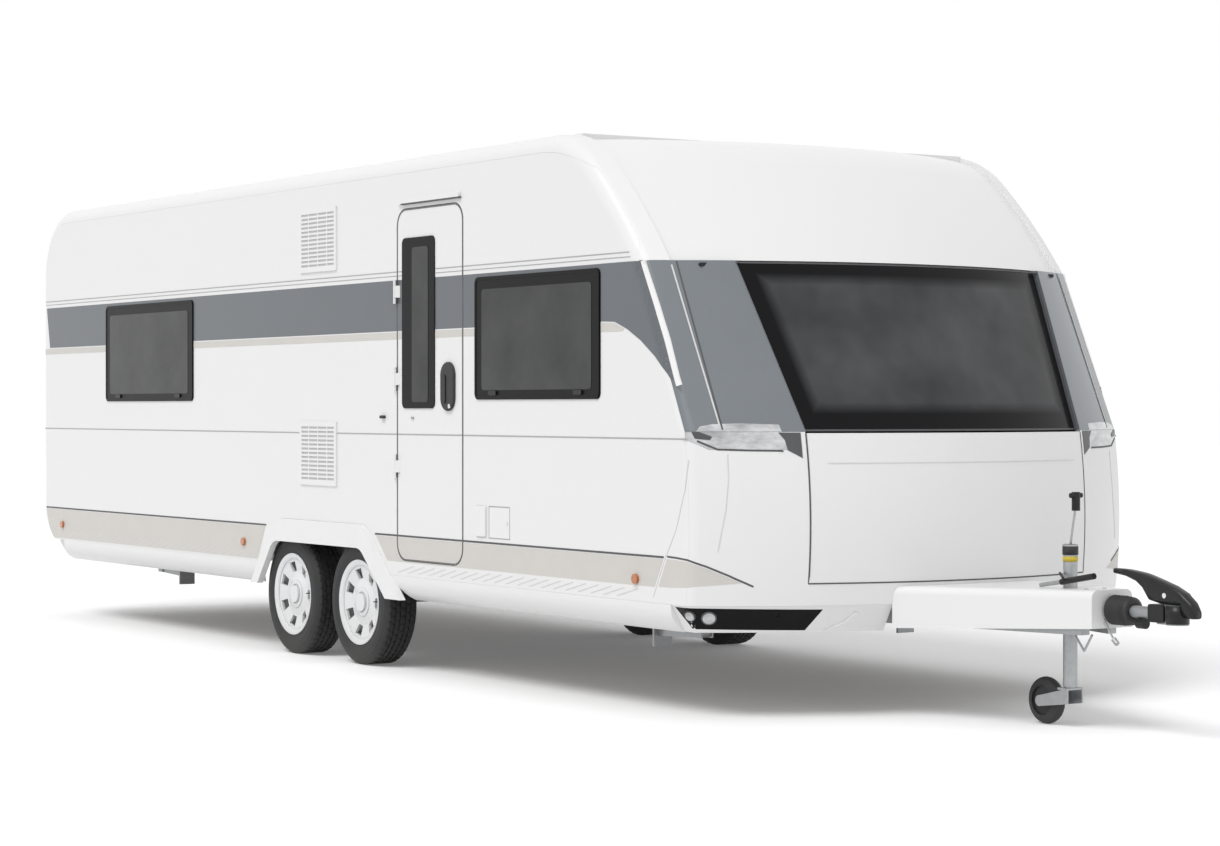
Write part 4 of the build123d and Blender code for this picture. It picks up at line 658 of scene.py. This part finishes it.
# Vents
VENT_X, VENT_WIDTH, VENT_FIELDS, HALF_BAR = 3.80, 0.43, 4, 0.004
for level, base in (("upper", 2.06), ("lower", 0.925)):
    foot, top = base + 0.024, base + 0.318
    for number in range(1, VENT_FIELDS):
        x = at(VENT_X + VENT_WIDTH * number / VENT_FIELDS)
        bar = rounded(x - HALF_BAR, foot, x + HALF_BAR, top, 0.003)
        wall_piece(f"{level} vent bar {number}", bar, 0.004, 0.0088, WHITE, HOST, "body_white")
    wall_piece(f"{level} vent screen", wall_box(3.824, foot, 4.206, top, 0.005), 0.0052, 0.0060, SCREEN_GREY,
               HOST, "lining")

# Front
FRONT = ["nose_panel", "front_locker_lid", "windscreen", "corner_plate_right", "corner_plate_left",
         "front_roof_cap", "headlamps", "edge_trim_right", "edge_trim_left"]
DIAGONAL = math.sqrt(0.5)
on_front = caster(FRONT, 0, 1)


def corner_caster(names, side):
    """A function that gives the surface point seen from ahead of a corner, at a place across and a height."""
    tree = surface_tree(names)
    outward = Vector((DIAGONAL, side * DIAGONAL, 0))
    across = Vector((DIAGONAL, -side * DIAGONAL, 0))

    def cast(u, v, lift, last=[None]):
        start = outward * FAR + across * u + Vector((0, 0, v))
        found = tree.ray_cast(start, -outward)
        if found[0] is not None:
            last[0] = found[0].dot(outward)
        return outward * ((last[0] or 0.0) + lift) + across * u + Vector((0, 0, v))

    return cast


def corner_list(points):
    """Corner coordinates of points: distance ahead of the rear wall, distance from the middle, height."""
    return [((at(x) - y) * DIAGONAL, z) for x, y, z in points]


def facing(cast, u, v, reach=0.01):
    """Place and outward direction of the surface at two corner coordinates."""
    place = cast(u, v, 0)
    along = cast(u + reach, v, 0) - cast(u - reach, v, 0)
    slope = along.cross(cast(u, v + reach, 0) - cast(u, v - reach, 0))
    slope.normalize()
    return place, slope if slope.x > 0 else -slope


def dark_line(name, path, width, cast, **more):
    """A dark line on the part's own body; it draws joints and printed lines, and also the painted shadows
    under the lamp lenses and the cap lip.
    """
    return ribbon(name, path, width, cast, LINE, HOST, "black_plastic", **more)


LID_SIDE, LID_FOOT = 0.781, 0.585
NOSE_CREASE_SHADE = [(7.600, 1.090, 1.14), (7.611, 1.093, 1.03), (7.610, 1.105, 0.902), (7.591, 1.134, 0.723)]
FOOT_LINE = [(7.352, 1.235, 0.696), (7.430, 1.235, 0.693), (7.500, 1.230, 0.688), (7.514, 1.226, 0.684),
             (7.561, 1.172, 0.660), (7.609, 1.093, 0.622)]
FOOT_LINE_END = [(7.659, 0.997, 0.574)]
WEDGE = [(7.349, 1.235, 0.685), (7.430, 1.235, 0.683), (7.500, 1.230, 0.680), (7.561, 1.172, 0.651),
         (7.609, 1.093, 0.613), (7.640, 1.030, 0.590), (7.540, 1.192, 0.576), (7.497, 1.230, 0.570),
         (7.400, 1.235, 0.564), (7.284, 1.235, 0.562)]
LAMP_LIP = [(7.510, 1.190, 1.236), (7.516, 1.176, 1.258), (7.543, 1.132, 1.268), (7.603, 1.028, 1.272),
            (7.682, 0.880, 1.266), (7.690, 0.868, 1.236)]
LAMP_SHADOW = [(7.522, 1.195, 1.196), (7.575, 1.125, 1.160), (7.630, 1.000, 1.156), (7.700, 0.862, 1.154)]
LAMP_TIP = [(7.512, 1.222, 1.236), (7.524, 1.190, 1.236), (7.556, 1.140, 1.214), (7.552, 1.148, 1.200),
            (7.520, 1.206, 1.206)]
LAMP_TONGUE = [(0.803, 1.232), (0.803, 1.124), (0.860, 1.156), (0.868, 1.200), (0.892, 1.232)]
CLIP_Y, CLIP_Z, CLIP_REACH = 1.0, 1.966, 0.02
APRON_INSET = [(7.400, 1.225, 0.482), (7.763, 0.705, 0.472), (7.691, 0.748, 0.380), (7.462, 1.175, 0.388)]
APRON_LAMPS = [(7.482, 1.204, 0.446), (7.530, 1.140, 0.438)]
APRON_HIGHLIGHT = [(7.800, 0.556, 0.462), (7.806, 0.540, 0.455), (7.768, 0.590, 0.405), (7.717, 0.676, 0.378),
             (7.725, 0.655, 0.386), (7.768, 0.596, 0.420)]

dark_line("lid outline foot", [(-LID_SIDE, LID_FOOT), (LID_SIDE, LID_FOOT)], 0.006, on_front)
for side, tag in ((RIGHT, "right"), (LEFT, "left")):
    on_corner = corner_caster(FRONT + [f"side_wall_{tag}"], side)
    on_apron = corner_caster(["front_apron"], side)
    dark_line(f"lid outline {tag}", [(side * LID_SIDE, LID_FOOT), (side * LID_SIDE, 1.228)], 0.006, on_front)
    dark_line(f"front window edge {tag}", [(side * 0.7785, 1.24), (side * 0.8685, 1.984)], 0.006, on_front)
    dark_line(f"corner seam {tag}", [(side * 1.10, 1.245), (side * 1.10, 1.98)], 0.006, on_front)
    # painted highlight: a pale line on the grey plate beside the corner seam, where its edge catches the light
    ribbon(f"corner seam bead {tag}", [(side * 1.107, 1.262), (side * 1.122, 1.965)], 0.006, on_front, SEAM_SHADE_AND_HIGHLIGHT,
           HOST, "panel_grey")
    # painted shade: a pale grey line along the soft crease where the front turns from the corner
    ribbon(f"nose crease {tag}", corner_list(NOSE_CREASE_SHADE), 0.004, on_corner, SEAM_SHADE_AND_HIGHLIGHT)
    foot_line = FOOT_LINE + (FOOT_LINE_END if side == RIGHT else [])
    dark_line(f"curved foot line {tag}", corner_list(foot_line), 0.008, on_corner, step=0.01)
    sheet_on(f"pale wedge {tag}", corner_list(WEDGE), on_corner, BEIGE, HOST, "lining", 0.012)

    # head lamp: lens lip on the corner plate, shadow line along its foot, dark ends
    sheet_on(f"lamp lip {tag}", corner_list(LAMP_LIP), on_corner, REFLECTOR, HOST, "clear_lens", 0.015)
    dark_line(f"lamp foot shadow {tag}", corner_list(LAMP_SHADOW), 0.008, on_corner, step=0.01)
    sheet_on(f"lamp tip {tag}", corner_list(LAMP_TIP), on_corner, TONGUE, HOST, "black_plastic", 0.012,
             lift=0.0010)
    sheet_on(f"lamp tongue {tag}", [(side * y, z) for y, z in LAMP_TONGUE], on_front, TONGUE, HOST,
             "black_plastic", 0.02)
    clip_y = side * CLIP_Y
    clip_x = on_front(clip_y, CLIP_Z, 0)[0]
    prism(f"plate clip {tag}", rounded(clip_y - CLIP_REACH, 1.958, clip_y + CLIP_REACH, 1.974, 0.006), 0,
          clip_x - 0.01, clip_x + 0.004, BLACK, HOST, "black_plastic")

    # dark inset of the apron with its two round lamps, and beside it a painted highlight in bright metal where
    # a glossy crease catches the light
    sheet_on(f"lamp inset {tag}", corner_list(APRON_INSET), on_apron, FRAME, HOST, "black_plastic", 0.015)
    for number, spot in enumerate(corner_list(APRON_LAMPS)):
        middle, way = facing(on_apron, *spot)
        radius = 0.026 + 0.008 * number
        rod(f"apron lamp bezel {tag} {number}", middle - way * 0.01, middle + way * 0.004, radius, TONGUE,
            HOST, "clear_lens", 32)
        rod(f"apron lamp lens {tag} {number}", middle, middle + way * 0.0065, radius * 0.8, REFLECTOR, HOST,
            "clear_lens", 32)
    sheet_on(f"apron cut {tag}", corner_list(APRON_HIGHLIGHT), on_apron, CHROME, step=0.008, lift=0.0012)
# painted shade along the crease across the locker lid
ribbon("lid crease painted shade", [(-0.70, 1.10), (0.70, 1.10)], 0.003, on_front, SEAM_SHADE_AND_HIGHLIGHT, "gas_locker_lid")
dark_line("front window foot edge", [(-0.775, 1.241), (0.775, 1.241)], 0.008, on_front)
dark_line("cap lip shadow", [(-0.868, 1.978), (0.868, 1.978)], 0.010, on_front)

# Tyres
HUB_Z, HUB_Y = 0.325, 1.118
TREAD_R, GROOVE_DEPTH, SIPE_DEPTH, SHOULDER_DEPTH, RIB_PITCH = 0.3245, 0.007, 0.005, 0.004, 4
GROOVES = ((0.039, 0.0465), (0.012, 0.0195))
SIDE_WALL = [(-0.0745, 0.2052), (-0.080, 0.212), (-0.089, 0.232), (-0.0945, 0.262), (-0.0925, 0.290),
             (-0.084, 0.311), (-0.074, 0.3235)]
HALF_TREAD = [0.0115, 0.012, 0.0195, 0.020, 0.0385, 0.039, 0.0465, 0.047, 0.060, 0.0605, 0.066]
profile = list(SIDE_WALL)
for place in [-a for a in reversed(HALF_TREAD)] + HALF_TREAD:
    deep = any(a <= abs(place) <= b for a, b in GROOVES)
    profile.append((place, TREAD_R - (GROOVE_DEPTH if deep else 0.0)))
profile += [(-a, r) for a, r in reversed(SIDE_WALL)]
TREAD = range(len(SIDE_WALL), len(SIDE_WALL) + 2 * len(HALF_TREAD))
RIM_LIP = ((0.0005, 0.190), (0.005, 0.1915), (0.010, 0.203), (0.0155, 0.216), (0.0155, 0.2215),
           (0.0118, 0.2225), (0.006, 0.2135), (-0.004, 0.2042))
HUB_RING = ((0.008, 0.0765), (0.0035, 0.075), (0.003, 0.052), (0.008, 0.0505))
BRAKE = ((0.060, 0.155), (0.054, 0.157), (0.0535, 0.03))


def tread_dent(i, k):
    """Cross sipes of the tread and fine ribs at the shoulder."""
    if i in TREAD:
        return -SIPE_DEPTH if (k + (i - TREAD[0]) // 2) % RIB_PITCH == 0 else 0.0
    if i in (TREAD[0] - 1, TREAD[-1] + 1):
        return -SHOULDER_DEPTH if k % RIB_PITCH == 0 else 0.0
    return 0.0


for end, distance in (("front", 4.418), ("rear", 3.64)):
    for tag, side in (("left", LEFT), ("right", RIGHT)):
        body = f"{end}_{tag}_wheel"
        centre = (at(distance), side * HUB_Y, HUB_Z)
        face = side * 0.075
        tyre = lathe(f"treaded tyre {end} {tag}", profile, centre, 1, RUBBER, body, "tyre_rubber", 192,
                     tread_dent, False)
        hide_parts(f"tyre_{end}_{tag}")
        lathe(f"rim lip {end} {tag}", [(face + side * along, radius) for along, radius in RIM_LIP], centre, 1,
              COVER, body, "wheel_white", 96)
        lathe(f"hub ring {end} {tag}", [(face - side * along, radius) for along, radius in HUB_RING], centre,
              1, COVER, body, "wheel_white", 64)
        valve = Vector(centre) + Vector((0.178, face - side * 0.004, 0.012))
        rod(f"valve {end} {tag}", valve, valve + Vector((-0.012, side * 0.02, 0)), 0.003, MATT_BLACK, body)
        lathe(f"brake backing {end} {tag}", [(-side * along, radius) for along, radius in BRAKE], centre, 1,
              CAST, HOST, "galvanised_steel")

# Drawbar and coupling
JOCKEY_X = at(8.546)
CRANK_X = JOCKEY_X + 0.034
COUPLING_Z = 0.508
rod("jockey clamp handle", (JOCKEY_X - 0.02, -0.04, 0.645), (JOCKEY_X + 0.05, -0.085, 0.63), 0.006, MATT_BLACK)
lathe("jockey cap", [(0.0, 0.0), (0.0, 0.0335), (0.036, 0.0335), (0.044, 0.028), (0.0445, 0.0)],
      (JOCKEY_X, 0, 0.722), 2, MATT_BLACK, "jockey_leg", "black_plastic", 32)
lathe("jockey tag ring", [(0.0, 0.0302), (0.0, 0.0318), (0.022, 0.0318), (0.022, 0.0302)],
      (JOCKEY_X, 0, 0.694), 2, YELLOW, "jockey_leg", "amber_lens", 32)
rod("crank grip", (CRANK_X, 0.0, 0.908), (CRANK_X, 0.0, 0.986), 0.0178, BLACK, "jockey_leg", sides=32)
rod("crank cross grip", (CRANK_X, -0.03, 0.972), (CRANK_X, 0.03, 0.972), 0.011, BLACK, "jockey_leg")
for name, start, end, radius in (
        ("plug lead rear", (8.652, -0.075, 0.403), (8.700, -0.062, 0.332), 0.005),
        ("plug lead front", (8.700, -0.062, 0.332), (8.762, -0.075, 0.403), 0.005),
        ("breakaway cable", (8.798, -0.045, 0.470), (8.850, -0.034, 0.384), 0.004),
        ("breakaway clip", (8.846, -0.034, 0.390), (8.868, -0.034, 0.372), 0.011)):
    rod(name, (at(start[0]), *start[1:]), (at(end[0]), *end[1:]), radius, STEEL, HOST, "galvanised_steel")
rod("plug holder", (at(8.962), -0.006, 0.463), (at(9.006), -0.006, 0.463), 0.022, BLACK)
prism("ball head rear", rounded(at(9.046), 0.4745, at(9.136), 0.5478, 0.012), 1, -0.036, 0.036, BLACK, HOST,
      "black_plastic")
lathe("bellows end", [(0.0, 0.044), (0.010, 0.060), (0.019, 0.047), (0.028, 0.058), (0.037, 0.044),
                      (0.037, 0.026), (0.0, 0.026)], (at(8.8925), 0, COUPLING_Z), 0, MATT_BLACK, HOST,
      "black_plastic")
lathe("ball head cover", [(-0.035, 0.0462), (0.0395, 0.0462), (0.0395, 0.0475), (-0.035, 0.0475)],
      (at(9.18), 0, COUPLING_Z), 2, BLACK, HOST, "black_plastic")
for y in (-0.05, 0.05):
    rod(f"cover bolt {y}", (at(8.70), y, 0.587), (at(8.70), y, 0.590), 0.009, STEEL)

# the coupling handle, shaped over the plain lever of the frame: distance, top, foot, half width
STATIONS = ((8.826, 0.681, 0.659, 0.018), (8.90, 0.680, 0.650, 0.023), (8.96, 0.674, 0.632, 0.026),
            (9.00, 0.669, 0.606, 0.028), (9.035, 0.662, 0.560, 0.029), (9.10, 0.645, 0.5485, 0.030),
            (9.17, 0.625, 0.5485, 0.030), (9.226, 0.600, 0.5485, 0.030), (9.233, 0.596, 0.498, 0.029),
            (9.272, 0.566, 0.497, 0.027), (9.2942, 0.534, 0.499, 0.020))
HANDLE_SIDES, BOXINESS = 20, 0.6
verts, faces = [], []
for x, high, low, wide in STATIONS:
    z, tall = (high + low) / 2, (high - low) / 2
    for k in range(HANDLE_SIDES):
        turn = 2 * math.pi * k / HANDLE_SIDES
        c, s = (math.copysign(abs(value) ** BOXINESS, value) for value in (math.cos(turn), math.sin(turn)))
        verts.append((at(x), wide * c, z + tall * s))
for ring in range(len(STATIONS) - 1):
    for k in range(HANDLE_SIDES):
        a, b = ring * HANDLE_SIDES + k, ring * HANDLE_SIDES + (k + 1) % HANDLE_SIDES
        faces.append([a, b, b + HANDLE_SIDES, a + HANDLE_SIDES])
last_ring = (len(STATIONS) - 1) * HANDLE_SIDES
faces += [list(range(HANDLE_SIDES)), [last_ring + k for k in reversed(range(HANDLE_SIDES))]]
handle = make("shaped coupling handle", verts, faces, BLACK, HOST, "handle_grey", True)
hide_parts("coupling_handle")
LEVER_Y = -0.062
rod("brake lever arm", (at(8.43), LEVER_Y, 0.5915), (at(8.575), LEVER_Y, 0.613), 0.009, STEEL, HOST,
    "galvanised_steel")
grip = rod("brake lever grip", (at(8.56), LEVER_Y, 0.611), (at(8.76), LEVER_Y, 0.645), 0.013, BLACK, sides=24)
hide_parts("handbrake_lever")
rod("handle pivot", (at(9.135), -0.0315, 0.585), (at(9.135), 0.0315, 0.585), 0.011, CHROME, HOST,
    "galvanised_steel")

# Rear
for side, tag in ((RIGHT, "right"), (LEFT, "left")):
    y0, y1 = sorted((side * 0.975, side * 1.125))
    for kind, low, high, mat in (("amber", 0.962, 1.006, AMBER), ("clear", 0.878, 0.905, CLEAR)):
        prism(f"rear lamp {kind} {tag}", rounded(y0 + 0.006, low, y1 - 0.006, high, 0.006), 0, at(-0.0337),
              at(-0.034), mat, HOST, f"{kind}_lens")
prism("rear window glass", rounded(-0.47, 1.427, 0.47, 1.915, 0.02), 0, at(-PANE_BACK), at(-0.0075), PANE,
      HOST, "dark_glass")
prism("plate backing", rounded(-0.255, 0.888, 0.255, 0.996, 0.01), 0, at(-0.0262), at(-0.0285), MATT_BLACK,
      HOST, "black_plastic")

# Room, lamps and camera
FLOOR_HALF, FLOOR_ALBEDO, FLOOR_GLOW = 60, 0.92, 0.13
ROOM_LIGHT = 0.61
KEY, FILL = 1.55, 0.2
AIM = Vector((0, 0, 1))
LENS, SENSOR, CLIP_END = 82.31, 36, 300
AZIMUTH, PITCH = math.radians(57.4472), math.radians(-0.3228)


def seen_ray(tree):
    """One for rays from the camera and for those that a gloss or a clear body sends on, else nothing."""
    path = tree.nodes.new("ShaderNodeLightPath")
    found = path.outputs["Is Camera Ray"]
    for name in ("Is Glossy Ray", "Is Transmission Ray"):
        most = tree.nodes.new("ShaderNodeMath")
        most.operation = "MAXIMUM"
        tree.links.new(found, most.inputs[0])
        tree.links.new(path.outputs[name], most.inputs[1])
        found = most.outputs[0]
    return found


def stage_floor():
    """A plain pale floor that takes the shadow and looks nearly white to the camera."""
    mesh = bpy.data.meshes.new("floor")
    corners = [(x * FLOOR_HALF, y * FLOOR_HALF, 0) for x, y in ((-1, -1), (1, -1), (1, 1), (-1, 1))]
    mesh.from_pydata(corners, [], [(0, 1, 2, 3)])
    mat = bpy.data.materials.new("floor")
    mat.use_nodes = True
    tree = mat.node_tree
    tree.nodes.clear()
    out = tree.nodes.new("ShaderNodeOutputMaterial")
    diffuse = tree.nodes.new("ShaderNodeBsdfDiffuse")
    diffuse.inputs["Color"].default_value = (FLOOR_ALBEDO, FLOOR_ALBEDO, FLOOR_ALBEDO, 1)
    glow = tree.nodes.new("ShaderNodeEmission")
    strength = tree.nodes.new("ShaderNodeMath")
    strength.operation = "MULTIPLY"
    strength.inputs[1].default_value = FLOOR_GLOW
    tree.links.new(seen_ray(tree), strength.inputs[0])
    tree.links.new(strength.outputs[0], glow.inputs["Strength"])
    both = tree.nodes.new("ShaderNodeAddShader")
    tree.links.new(diffuse.outputs[0], both.inputs[0])
    tree.links.new(glow.outputs[0], both.inputs[1])
    tree.links.new(both.outputs[0], out.inputs[0])
    mesh.materials.append(mat)
    obj = bpy.data.objects.new("floor", mesh)
    bpy.context.scene.collection.objects.link(obj)


def room():
    """A room that lights evenly and looks white."""
    world = bpy.data.worlds.new("room")
    bpy.context.scene.world = world
    world.use_nodes = True
    tree = world.node_tree
    tree.nodes.clear()
    out = tree.nodes.new("ShaderNodeOutputWorld")
    blend = tree.nodes.new("ShaderNodeMixShader")
    tree.links.new(seen_ray(tree), blend.inputs[0])
    for slot, strength in ((1, ROOM_LIGHT), (2, 1.0)):
        light = tree.nodes.new("ShaderNodeBackground")
        light.inputs["Color"].default_value = (1, 1, 1, 1)
        light.inputs["Strength"].default_value = strength
        tree.links.new(light.outputs[0], blend.inputs[slot])
    tree.links.new(blend.outputs[0], out.inputs[0])


def sun(name, energy, place, spread):
    """A soft lamp far away, aimed at the part's middle."""
    data = bpy.data.lights.new(name, "SUN")
    data.energy = energy
    data.angle = math.radians(spread)
    obj = bpy.data.objects.new(name, data)
    bpy.context.scene.collection.objects.link(obj)
    obj.location = place
    obj.rotation_mode = "QUATERNION"
    obj.rotation_quaternion = (AIM - Vector(place)).to_track_quat("-Z", "Y")


stage_floor()
room()
sun("high key", KEY, (2, -9, 14), 30)
sun("front fill", FILL, (14, 2, 5), 50)

camera_data = bpy.data.cameras.new("photo view")
camera_data.lens = LENS
camera_data.sensor_width = SENSOR
camera_data.clip_end = CLIP_END
camera = bpy.data.objects.new("photo view", camera_data)
bpy.context.scene.collection.objects.link(camera)
way = Vector((-math.sin(AZIMUTH) * math.cos(PITCH), math.cos(AZIMUTH) * math.cos(PITCH), math.sin(PITCH)))
camera.location = (at(17.3608), -7.9167, 1.3402)
camera.rotation_mode = "QUATERNION"
camera.rotation_quaternion = way.to_track_quat("-Z", "Y")
bpy.context.scene.camera = camera
bpy.context.scene.view_settings.view_transform = "Standard"
